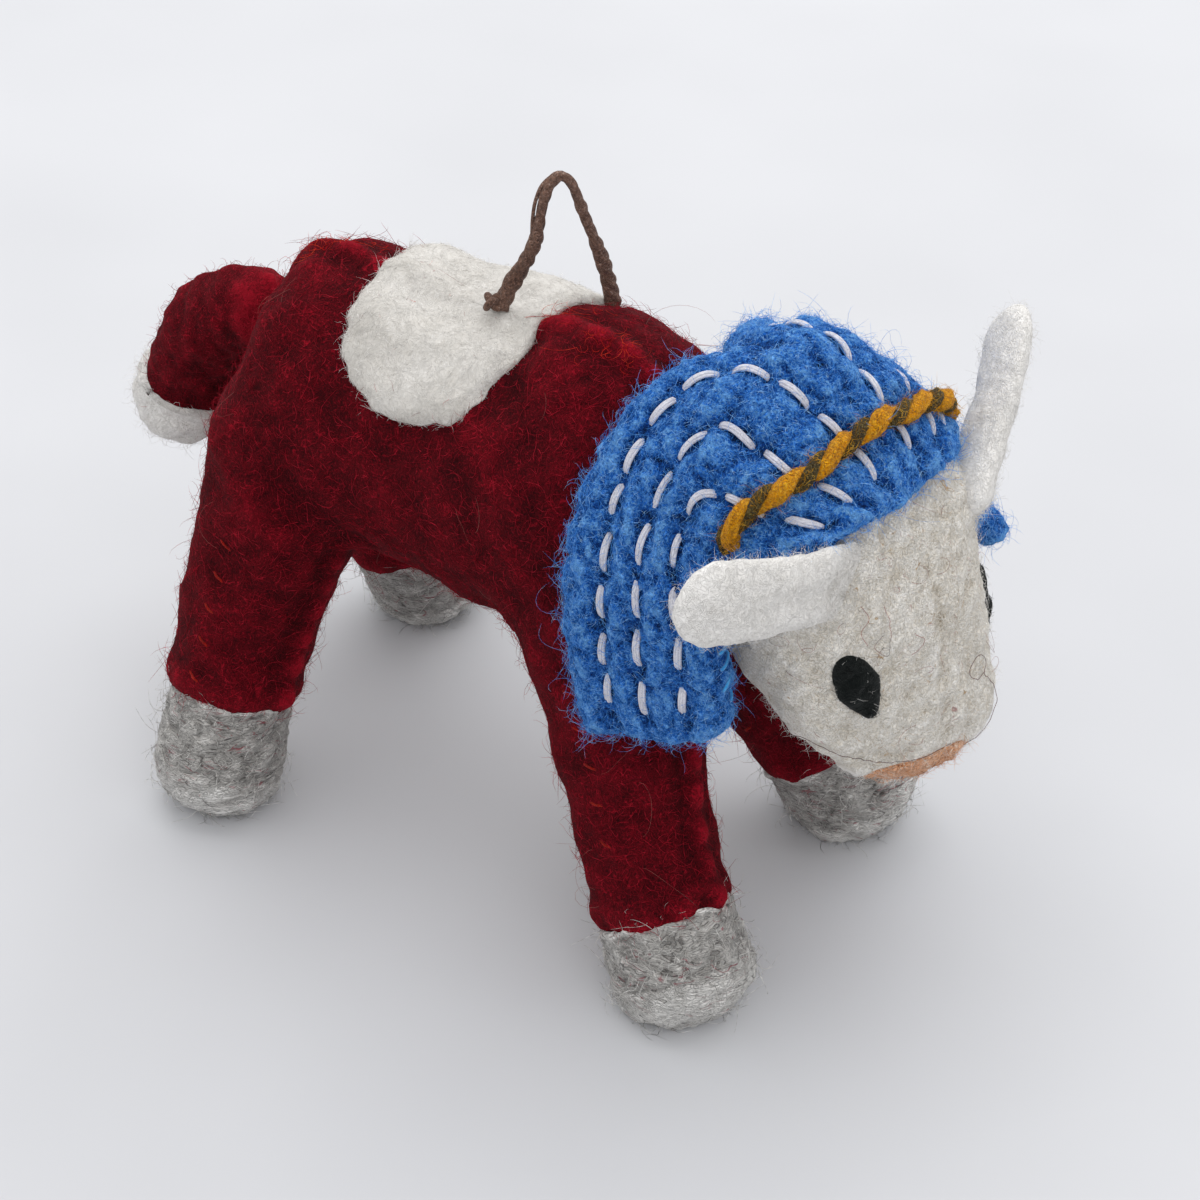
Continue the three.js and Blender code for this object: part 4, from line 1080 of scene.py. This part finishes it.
# %% Ear forms
ear_forms = {  # root, middle, tip, turn of the broad side, widths and depths from the root on
    "right": ([48.0, -7.6, 57.3], [46.4, -22.6, 62.6], [42.1, -32.4, 65.5], 0, (0.95, 1.0),
              (0.3, 1.1, 1.8)),
    "left": ([48.3, 10.5, 54.2], [47.3, 21.0, 64.1], [43.5, 30.0, 70.0], 34, (1.7, 1.25),
             (2.2, 2.7, 2.3)),
}
ear_half_width, bend_start, bend_end = 4.6, 3, 12
for side, (root, middle, tip, turn, first_widths, first_depths) in ear_forms.items():
    root, tip = np.array(root), np.array(tip)
    way = unit(tip - root)
    broad = turned(unit(upright - way * way[2]), way, math.radians(turn * both_sides[side]))
    ear_widths = np.array([*first_widths, 0.94, 0.98, 1.04, 0.98]) * ear_half_width
    ear_depths = np.array([*first_depths, 1.9, 1.9, 1.9])
    points, faces = form([root, middle, tip], ear_widths, ear_depths, 3.5, 4.6, 60, 80,
                         across=broad)
    out, front = normals_of(points, faces), unit(np.cross(way, broad))
    aside, along = (points - root) @ broad, (points - root) @ way
    dip = bell(aside, 2.0) * eased(out @ (front * np.sign(front[0])), 0.3, 0.8)
    dip = dip * eased(along, 0, 5) * eased(21 - along, 1, 6)
    uneven = 0.11 * lumps(points, 5, 51) + 0.06 * lumps(points, 1.8, 52)
    ear = pushed(points, out, uneven - 0.65 * dip), faces
    bend = ("animal", f"ear_{side}", (root + bend_start * way + shift) / 1000,
            (root + bend_end * way + shift) / 1000)
    piece(f"ear_paddle_{side}", ear, white_felt, bend, [f"ear_{side}"], 10)
    fuzz(f"ear_fuzz_{side}", ear, white_fibre, 1700, (0.7, 2.6), 0.04, (0.5, 4.0),
         (0.05, 0.8), 53, steps=4, body=bend)
    fuzz(f"ear_root_fuzz_{side}", ear, white_fibre, 700, (1.2, 3.6), 0.05, (0.5, 4.0),
         (0.05, 0.4), 54, steps=4, sink=0.1, body=bend,
         keep=lambda centres: np.linalg.norm(centres - root, axis=1) < 6.5)

# %% [markdown]
# ## The headcloth
# A thick blue cloth, quilted by rows of running stitch. Each half is a surface between five guide
# lines that run from the brow over the crown and down the cheek. Between two rows the cloth puffs
# up, and every stitch pinches the puff, so it reads as a row of small pillows.

# %% Guides of the headcloth
cloth_guides = np.array([  # thousandths of the cloth's length back, half width out and drop down
    [[17, 607, 351], [138, 688, 369], [241, 732, 392], [321, 754, 408], [366, 768, 428],
     [393, 786, 462], [407, 804, 503], [403, 830, 559], [383, 848, 636], [359, 853, 738],
     [338, 848, 897]],
    [[0, 473, 303], [155, 562, 277], [300, 621, 267], [434, 652, 249], [528, 670, 256],
     [572, 719, 310], [579, 795, 405], [559, 862, 492], [514, 906, 610], [483, 920, 749],
     [459, 911, 949]],
    [[-7, 308, 282], [138, 393, 223], [283, 451, 187], [431, 442, 154], [579, 455, 123],
     [662, 562, 187], [700, 701, 297], [703, 844, 421], [669, 938, 574], [645, 964, 744],
     [600, 955, 974]],
    [[3, 134, 282], [152, 147, 190], [300, 165, 110], [469, 183, 41], [655, 214, 28],
     [786, 353, 87], [845, 558, 187], [862, 754, 338], [834, 915, 544], [797, 978, 744],
     [738, 982, 985]],
    [[17, -40, 282], [159, -40, 164], [303, -40, 77], [490, -40, 15], [745, -27, 41],
     [910, 312, 92], [979, 576, 205], [1000, 786, 359], [983, 946, 544], [952, 1009, 756],
     [890, 1004, 1026]],
]) / 1000
cloth_front, cloth_length, cloth_half_width, cloth_top, cloth_drop = 49, 29, 22.4, 76, 39
cloth_thicknesses = np.array([0.5, 0.8, 1, 1, 1, 1, 1, 0.95, 0.9, 0.85, 0.75]) * 4.4
crown_swells = (  # height, then middle and width along and across
    (2.4, 38, 8, 6, 6), (-1.5, 27, 5, 0, 6), (-1.8, 24.5, 4, 7, 5))


def half_cloth(sign, flare, tuck):
    """The guides of one half in millimetres, right (-1) or left (+1). Past the ear, the lappet
    swings out by the flare times the square of its free length, and each front corner is tucked
    back over the ear's root by the tuck."""
    free = np.maximum(0, np.arange(11) / 10 - 0.55) / 0.45
    push = flare * free**2
    x = cloth_front - cloth_guides[..., 0] * cloth_length + push * 0.7
    y = sign * (cloth_guides[..., 1] * cloth_half_width + push * 1.09)
    z = cloth_top - cloth_guides[..., 2] * cloth_drop + 0.25 * push
    for swell, along, length, across, width in crown_swells:
        z = z + swell * bell(x - along, length, y - across, width)
    tucked = np.array([1.0, 0.75, 0.45, 0.2, 0]) * tuck
    x[:, 0] -= 2.3 * tucked
    x[:, 1] -= 0.7 * tucked
    z[:, 0] -= 0.9 * sign * tucked
    return np.stack([x, y, z], -1)


def cloth_grid(guides, down, over):
    """The cloth's outer face at each share down by each share across: smooth lines along the
    guides first, then a smooth line across them."""
    along = through(np.swapaxes(guides, 0, 1), down)
    return np.swapaxes(through(np.swapaxes(along, 0, 1), over), 0, 1)


def cloth_frame(guides, sign, down, over, step=0.004):
    """Points of the cloth with their outward, lengthwise and crosswise directions."""
    length, cross = (
        cloth_grid(guides, *(np.minimum(v + s, 1) for v, s in zip((down, over), steps)))
        - cloth_grid(guides, *(np.maximum(v - s, 0) for v, s in zip((down, over), steps)))
        for steps in ((step, 0), (0, step)))
    base = cloth_grid(guides, down, over)
    return base, unit(np.cross(length, cross)) * sign, unit(length), unit(cross)


cloth_halves = {"right": (half_cloth(-1, 0, 1.0), -1), "left": (half_cloth(1, 9, 0.7), 1)}
print("cloth guides:", cloth_halves["right"][0].shape)

# %% [markdown]
# A pad is closed by rounding it over at its edges: half a circle at each side, and at the two
# ends the same circle's formula thins the last rows. The halves are then fused at the crown.

# %% Quilted pads
pillow_pitch, puff_height = 5.3, 1.75


def pad(guides, sign, rows=190, columns=100, end_rows=6):
    """One half as a closed skin. Puff = P |sin(pi v)|^0.75 between channels v, times arches along
    the row. The rim is a half circle whose size follows arches of its own, so it is scalloped."""
    def ended(first, middle):
        return np.concatenate([first, np.full(rows, middle), first[::-1]])

    bend = np.linspace(0, np.pi / 2, end_rows + 1)[:-1]
    over = np.linspace(0, 1, columns)
    down = np.concatenate([np.zeros(end_rows), np.linspace(0, 1, rows), np.ones(end_rows)])
    tuck, thin = ended(np.sin(np.pi / 2 - bend), 0.0), ended(np.sin(bend + 0.12), 1.0)
    base, out, length, cross = cloth_frame(guides, sign, down, over)
    run = running(base)
    thick = (reading(cloth_thicknesses, down) * thin)[:, None]
    channel = over * 4
    row = np.floor(np.minimum(channel, 3.999))
    between = np.abs(np.sin(np.pi * channel)) ** 0.75
    crown = (np.abs(base[:, -1:, 1]) < 1.5) * eased(over, 0.72, 1.0)
    between = np.maximum(between[None], crown * 0.45)
    pillows = arches(run + row * 1.9, pillow_pitch, 0.55)
    puff = (puff_height * between * pillows - 0.35) * thin[:, None]
    middle = -thick / 2 + 0.3
    ahead = np.where(np.arange(len(down)) < len(down) / 2, -1, 1) * (1.6 * tuck)
    sway = length * ahead[:, None, None]
    top = base + out * (middle + (puff - middle) * thin[:, None])[..., None] + sway
    low = base - out * thick[..., None] + sway

    def rim(edge, way):
        """The half circle over one side: from its top round the edge to its underside."""
        angle = np.linspace(0, np.pi, 11)[1:-1, None]
        across = top[:, edge] - low[:, edge]
        centre = (top[:, edge] + low[:, edge]) / 2
        half = np.linalg.norm(across, axis=1)[:, None, None] / 2
        scallop = (0.2 + 0.55 * arches(run[:, edge], pillow_pitch, 0.0))[:, None, None]
        return (centre[:, None] + half * np.cos(angle) * unit(across)[:, None]
                + np.minimum(half, 2.0) * scallop * np.sin(angle) * (way * cross[:, edge])[:, None])

    far, near = rim(-1, 1), rim(0, -1)[:, ::-1]
    rings = np.concatenate([near[:, 4:], top, far, low[:, ::-1], near[:, :4]], 1)
    sides = rings.shape[1]
    at = np.arange(1, sides // 2)
    pair = sides - at
    ladder = np.stack([at[:-1], at[1:], pair[1:], pair[:-1]], -1)
    last = (len(down) - 1) * sides
    tips = np.array([[0, 1, sides - 1]])
    return rings.reshape(-1, 3), [ring_faces(len(down), sides), ladder[:, ::-1], ladder + last,
                                  tips[:, ::-1], tips + last]


cloth, cloth_faces = fused(0.5, *[pad(*half) for half in cloth_halves.values()])
cloth = relaxed(cloth, cloth_faces, 2, 0.4)
clefts = bell(lumps(cloth, 5, 63), 0.15)
tufts = 0.16 * lumps(cloth, 3.5, 61) + 0.12 * lumps(cloth, 1.5, 62) - 0.25 * clefts
cloth_skin = pushed(cloth, normals_of(cloth, cloth_faces), tufts), cloth_faces
piece("quilted_headcloth", cloth_skin, blue_felt, "animal", ["headcloth"], 12)

# %% [markdown]
# ## Fuzz of the headcloth
# This felt is the fluffiest: curled light hairs lie all over it and stand out along its edge.


# %% Fuzz of the headcloth
def outer_cloth(centres):
    """The cloth's outer side: away from a line down the middle of the head."""
    away = (centres - np.array([38, 0, 56])) * np.array([1, 0.9, 1])
    return np.linalg.norm(away, axis=1) > 12


for side, sign in both_sides.items():
    fuzz(f"headcloth_fuzz_{side}", cloth_skin, blue_fibre, 4600, (0.6, 2.0), 0.05,
         (1.5, 4.0), (0.3, 1.0), 64 + sign, keep=one_side(outer_cloth, sign))
    fuzz(f"headcloth_curls_{side}", cloth_skin, blue_fibre, 6900, (1.6, 4.6), 0.05,
         (1.0, 4.5), (0.0, 0.22), 68 + sign, steps=5, keep=one_side(outer_cloth, sign), sink=0.05)
fuzz("headcloth_strays", cloth_skin, blue_fibre, 200, (3, 8), 0.04, (1.0, 5.0), (0.3, 0.9),
     66, steps=10, keep=outer_cloth)

# %% [markdown]
# ## Running stitches
# White floss goes over and under the cloth in each channel. A stitch is three strands that lie
# side by side, rise out of the cloth and dive back in, so its height is half a sine wave.


# %% Floss
def floss(guides, sign, channel, seed, steps=15, sides=6):
    """One row of stitches: for each stitch k and strand j, a thin tube along the channel's line,
    at height h = -1.1 + 1.75 sin(pi t)^0.35 over the cloth, leaning a little across the row."""
    rng = np.random.default_rng(seed)
    down = np.linspace(0.02, 0.98, 500)
    over = np.array([channel / 4])
    base, out, _, cross = (v[:, 0] for v in cloth_frame(guides, sign, down, over))
    run = running(base)
    count = int(run[-1] / pillow_pitch)
    pitch = run[-1] / count
    begin = (np.arange(count) + 0.1) * pitch + rng.uniform(-0.25, 0.25, count)
    size = pitch * rng.uniform(0.78, 0.9, count)
    t = np.linspace(0, 1, steps)
    at = begin[:, None] + size[:, None] * t
    base, out, cross = (sampled(field, run, at) for field in (base, out, cross))
    lean = rng.uniform(-0.32, 0.12, (count, 1)) * sign * (2 * t - 1)
    height = -1.1 + 1.75 * np.sin(np.pi * t) ** 0.35
    lines = np.concatenate([
        base + out * (height + (0.1 if j == 0 else 0))[:, None]
        + cross * (lean + j * 0.27 * (0.75 + 0.25 * np.sin(np.pi * t)))[..., None]
        for j in (-1, 0, 1)])
    up = unit(np.concatenate([out] * 3))
    tubes = ringed(lines, *square_to(unit(np.gradient(lines, axis=1)), up), 0.2, sides)
    start = np.arange(sides)
    ends = np.stack([start[::-1], start + (steps - 1) * sides])
    return tubes.reshape(-1, 3), copied(len(lines), steps * sides, ring_faces(steps, sides), ends)


for side, half in cloth_halves.items():
    for number, channel in ((1, 3), (2, 2), (3, 1)):
        piece(f"running_stitches_{side}_{number}", floss(*half, channel, 70 + channel + half[1]),
              cotton_floss, "animal", [f"stitch_row_{side}_{number}"])

down = np.linspace(0.72, 0.97, 120)
base, out, _, cross = (v[:, 0] for v in cloth_frame(*cloth_halves["right"], down, np.array([0.0])))
wave = np.linspace(0, 5 * 2 * np.pi, 120)[:, None]
whip = base - cross * (0.55 + 0.35 * np.cos(wave)) + out * (-1.2 + 1.1 * np.sin(wave))
piece("edge_whip_stitches", strand(whip, 0.2), cyan_floss)

# %% [markdown]
# ## The head band
# Two plies of wool yarn, gold and olive, twisted round each other. Each ply's centre runs on a
# helix round the band's line, half a turn from the other.

# %% Two-ply yarn
band_shares = {  # shares down and across the cloth's right half, then its left half
    "right": ((0.32, 0.08), (0.295, 0.125), (0.262, 0.175), (0.213, 0.29), (0.165, 0.48),
              (0.145, 0.62), (0.125, 0.8), (0.112, 0.96)),
    "left": ((0.105, 0.8), (0.1, 0.6), (0.1, 0.42), (0.1, 0.24), (0.12, 0.09)),
}
band_points = []
for side, shares in band_shares.items():
    for share in shares:
        down, over = (np.array([value]) for value in share)
        base, out, _, _ = (v[0, 0] for v in cloth_frame(*cloth_halves[side], down, over))
        band_points.append(base + out * (1.9 if len(band_points) else 0.6))
band_line = path(band_points)


def ply(line, phase, radius, around, pitch=6.8, rings=420, sides=16):
    """A strand on a helix: its centre is the line + around (cos a, sin a), where the angle a is
    the phase + 2 pi times the running length over the pitch."""
    share = np.linspace(0, 1, rings)
    across, over = square_to(heading(line, share), (1, 0, 0))
    turn = (phase + 2 * np.pi * share * line[1][-1] / pitch)[:, None]
    middle = place(line, share) + around * (np.cos(turn) * across + np.sin(turn) * over)
    aside, above = square_to(unit(np.gradient(middle, axis=0)), over)
    swell = 1 + 0.1 * np.sin(share * 61 + phase)[:, None]
    furrow = 1 + 0.13 * np.cos(5 * round_angles(sides)[None] - 3 * turn)
    size = (radius * swell * furrow)[..., None]
    return closed(ringed(middle, aside, above, size, sides), middle[[0, -1]])


gold, olive = ply(band_line, 0.0, 0.88, 0.42), ply(band_line, np.pi, 0.66, 0.5)
piece("head_band_gold", gold, yarns["gold"], "animal", ["head_band"])
piece("head_band_olive", olive, yarns["olive"])
fuzz("head_band_fuzz", joined(gold, olive), gold_fibre, 1800, (0.8, 2.8), 0.045,
     (0.5, 3.5), (0.02, 0.5), 81, sink=0.1)

# %% [markdown]
# ## The saddle patch
# A rough oval of thin white felt, needled onto the back, so it follows the coat under it.

# %% Patch
patch_edge = np.array([  # millimetres along the back, degrees down the right side
    (-20.9, 0), (-20.5, 15), (-19.6, 27), (-18.8, 36), (-17.5, 43), (-15.6, 49.5), (-13, 54),
    (-10, 56.5), (-6.2, 55.5), (-3, 51), (-0.8, 43), (0.5, 33), (1.2, 22), (1.1, 11), (1.1, 0),
    (1.6, -10), (2.7, -19), (3.6, -30), (3.4, -42), (0, -51), (-7, -54), (-15, -51), (-21, -43),
    (-24, -32), (-23, -20), (-21.6, -10),
])
patch_middle, spine_height, patch_rings, patch_sides = np.array([-8, 4]), 48.8, 60, 240
ring = np.sin(np.linspace(0.02, 1, patch_rings) * np.pi / 2)
turn = round_angles(patch_sides)
rows = np.concatenate([patch_edge[-2:], patch_edge, patch_edge[:3]]) - patch_middle
edge = through(rows, (2 + turn / (2 * np.pi) * len(patch_edge)) / (len(rows) - 1))
edge = edge * (1 + 0.012 * np.sin(17 * turn) + 0.008 * np.sin(29 * turn))[:, None]
flat = ring[:, None, None] * edge[None] + patch_middle
along, down = flat[..., 0], np.radians(flat[..., 1])
radial = np.stack([0 * down, -np.sin(down), np.cos(down)], -1)
base = wrapped(coat_piece, np.stack([along, 0 * down, 0 * down + spine_height], -1) + 19 * radial)
heaped = np.interp(along, [-24, -18, -13, -8, -4, 0, 4], [0, 0.3, 0.9, 1.5, 1.2, 0.4, 0])
heaped = heaped * eased(-flat[..., 1], 0, 30)
points, faces = layered(base, radial, ring, 1.4 + heaped, 1.2)
points = relaxed(points, faces, 5)
uneven = 0.2 * lumps(points, 7, 91) + 0.04 * lumps(points, 2.4, 92)
patch = pushed(points, normals_of(points, faces), uneven), faces
piece("saddle_felt", patch, patch_felt, "animal", ["saddle_patch"], 14)
fuzz("saddle_fuzz", patch, white_fibre, 2800, (0.8, 2.8), 0.045, (0.8, 4.0), (0.02, 0.3),
     93, steps=4, sink=0.1)
rim_line = patch[0][(patch_rings - 2) * patch_sides:(patch_rings - 1) * patch_sides:3]


def near_rim(centres):
    """The last millimetre or two of the patch before its edge."""
    return np.array([np.linalg.norm(rim_line - c, axis=1).min() < 1.2 for c in centres])


fuzz("saddle_rim_fuzz", patch, white_fibre, 1200, (1.2, 3.2), 0.045, (0.5, 3.0),
     (0.02, 0.3), 94, steps=4, keep=near_rim, sink=0.1)

# %% [markdown]
# ## The tail
# A finger of red felt sewn along its underside, with white wool felted over its end.

# %% Tail form
tail_root, tail_size, tip_sides = np.array([-36.5, 0, 56.5]), 26, 80
tail_shares = np.array([[0, 0.01], [0.27, 0.1], [0.52, 0.31], [0.66, 0.6], [0.775, 0.9]])
tail_steps = np.stack([tail_shares[:, 0], np.zeros(5), tail_shares[:, 1]], -1)
tail_centres = tail_root - tail_size * tail_steps
tail_widths = np.array([0.9, 1.03, 1.1, 1.08, 0.95])
points, faces = form(tail_centres, tail_widths * 4.9, tail_widths * 5, 5, 5, 70, 70)
share, centre = nearest(points, path(tail_centres), 120)
welt = 0.5 * bell(points[:, 1], 1.0) * arches(share * 31, 4.0)
uneven = 0.25 * lumps(points, 6, 101) + 0.12 * lumps(points, 2.2, 102)
tail = pushed(points, normals_of(points, faces), welt + uneven), faces
piece("tail_cover", tail, red_felt, "tail", ["tail"], 14)
tip_centres = tail_centres.copy()
tip_centres[-1] += 1.3 * unit(tail_centres[-1] - tail_centres[-2])  # it wraps the tail's end
points, _ = form(tip_centres, tail_widths * 5.9, tail_widths * 6.0, 5, 6.0, 90, tip_sides)
rings, end_pole = points[:-2].reshape(-1, tip_sides, 3), points[-1]
middles = rings.mean(1)
rings = rings[(np.linalg.norm(middles - tail_centres[-1], axis=1) < 7.8) & (middles[:, 2] < 45)]
mouth = rings[0].mean(0)
points, faces = closed(rings, np.stack([mouth, end_pole]))
hem = bell(np.linalg.norm(points - mouth, axis=1) - 5.4, 1.2)
uneven = 0.2 + 0.3 * lumps(points, 4, 103) + 0.12 * lumps(points, 1.7, 104) - 0.5 * hem
tip = pushed(points, normals_of(points, faces), uneven), faces
piece("tail_tip_felt", tip, white_felt, "tail", ["tail_tip"])
fuzz("tail_tip_fuzz", tip, white_fibre, 1200, (1.0, 3.4), 0.05, (0.8, 4.0), (0.05, 0.7),
     105, steps=4, body="tail")
fuzz("tail_fuzz", tail, red_fibre, 1500, (0.8, 2.6), 0.055, (0.8, 3.5), (0.1, 0.75), 106,
     steps=4, body="tail")

# %% [markdown]
# ## Floor
# The photograph is a studio shot on a pale sweep: matt grey paper, a little uneven in its tone.

# %% Floor
paper, node = empty_material("pale_paper")
grain = node("TexNoise", {"Vector": node("TexCoord", out="Object"), "Scale": per_metre(60),
                          "Detail": 2.0})
colour = node("ValToRGB", {"Fac": grain}, stops=[(0.3, "#c9cacd"), (0.7, "#cecfd2")])
shader = node("BsdfPrincipled", {"Base Color": colour, "Roughness": 0.8, "Specular IOR Level": 0.2})
node("OutputMaterial", {"Surface": shader})
grid = np.linspace(-1.6, 1.6, 9)
x, y = np.meshgrid(grid, grid, indexing="ij")
at = np.arange(81).reshape(9, 9)
quads = np.stack([at[:-1, :-1], at[1:, :-1], at[1:, 1:], at[:-1, 1:]], -1).reshape(-1, 4)
floor_mesh = mesh_of("floor", np.stack([x, y, 0 * x], -1).reshape(-1, 3), [quads])
floor_mesh.materials.append(paper)
in_scene("floor", floor_mesh)

# %% [markdown]
# ## Light
# A wide soft box over the back, a weak one in front, and an even pale room.


# %% Light
def soft_box(name, where, size, watts, aim=(0, 0, 0.03)):
    """A square lamp that faces the aim."""
    lamp = in_scene(name, bpy.data.lights.new(name, "AREA"))
    lamp.data.size, lamp.data.energy = size, watts
    lamp.location = where
    lamp.rotation_euler = (lamp.location - Vector(aim)).to_track_quat("Z", "Y").to_euler()


soft_box("overhead", (-0.25, 0.5, 0.95), 1.4, 8.8)
soft_box("front", (0.6, -0.5, 0.9), 0.7, 1.6)
world = bpy.data.worlds.new("studio")
bpy.context.scene.world = world
world.use_nodes = True
world.node_tree.nodes.clear()
sky = add(world.node_tree, "Background", {"Color": linear("#f6f6f7"), "Strength": 0.93})
add(world.node_tree, "OutputWorld", {"Surface": sky})
bpy.context.scene.view_settings.view_transform = "Standard"
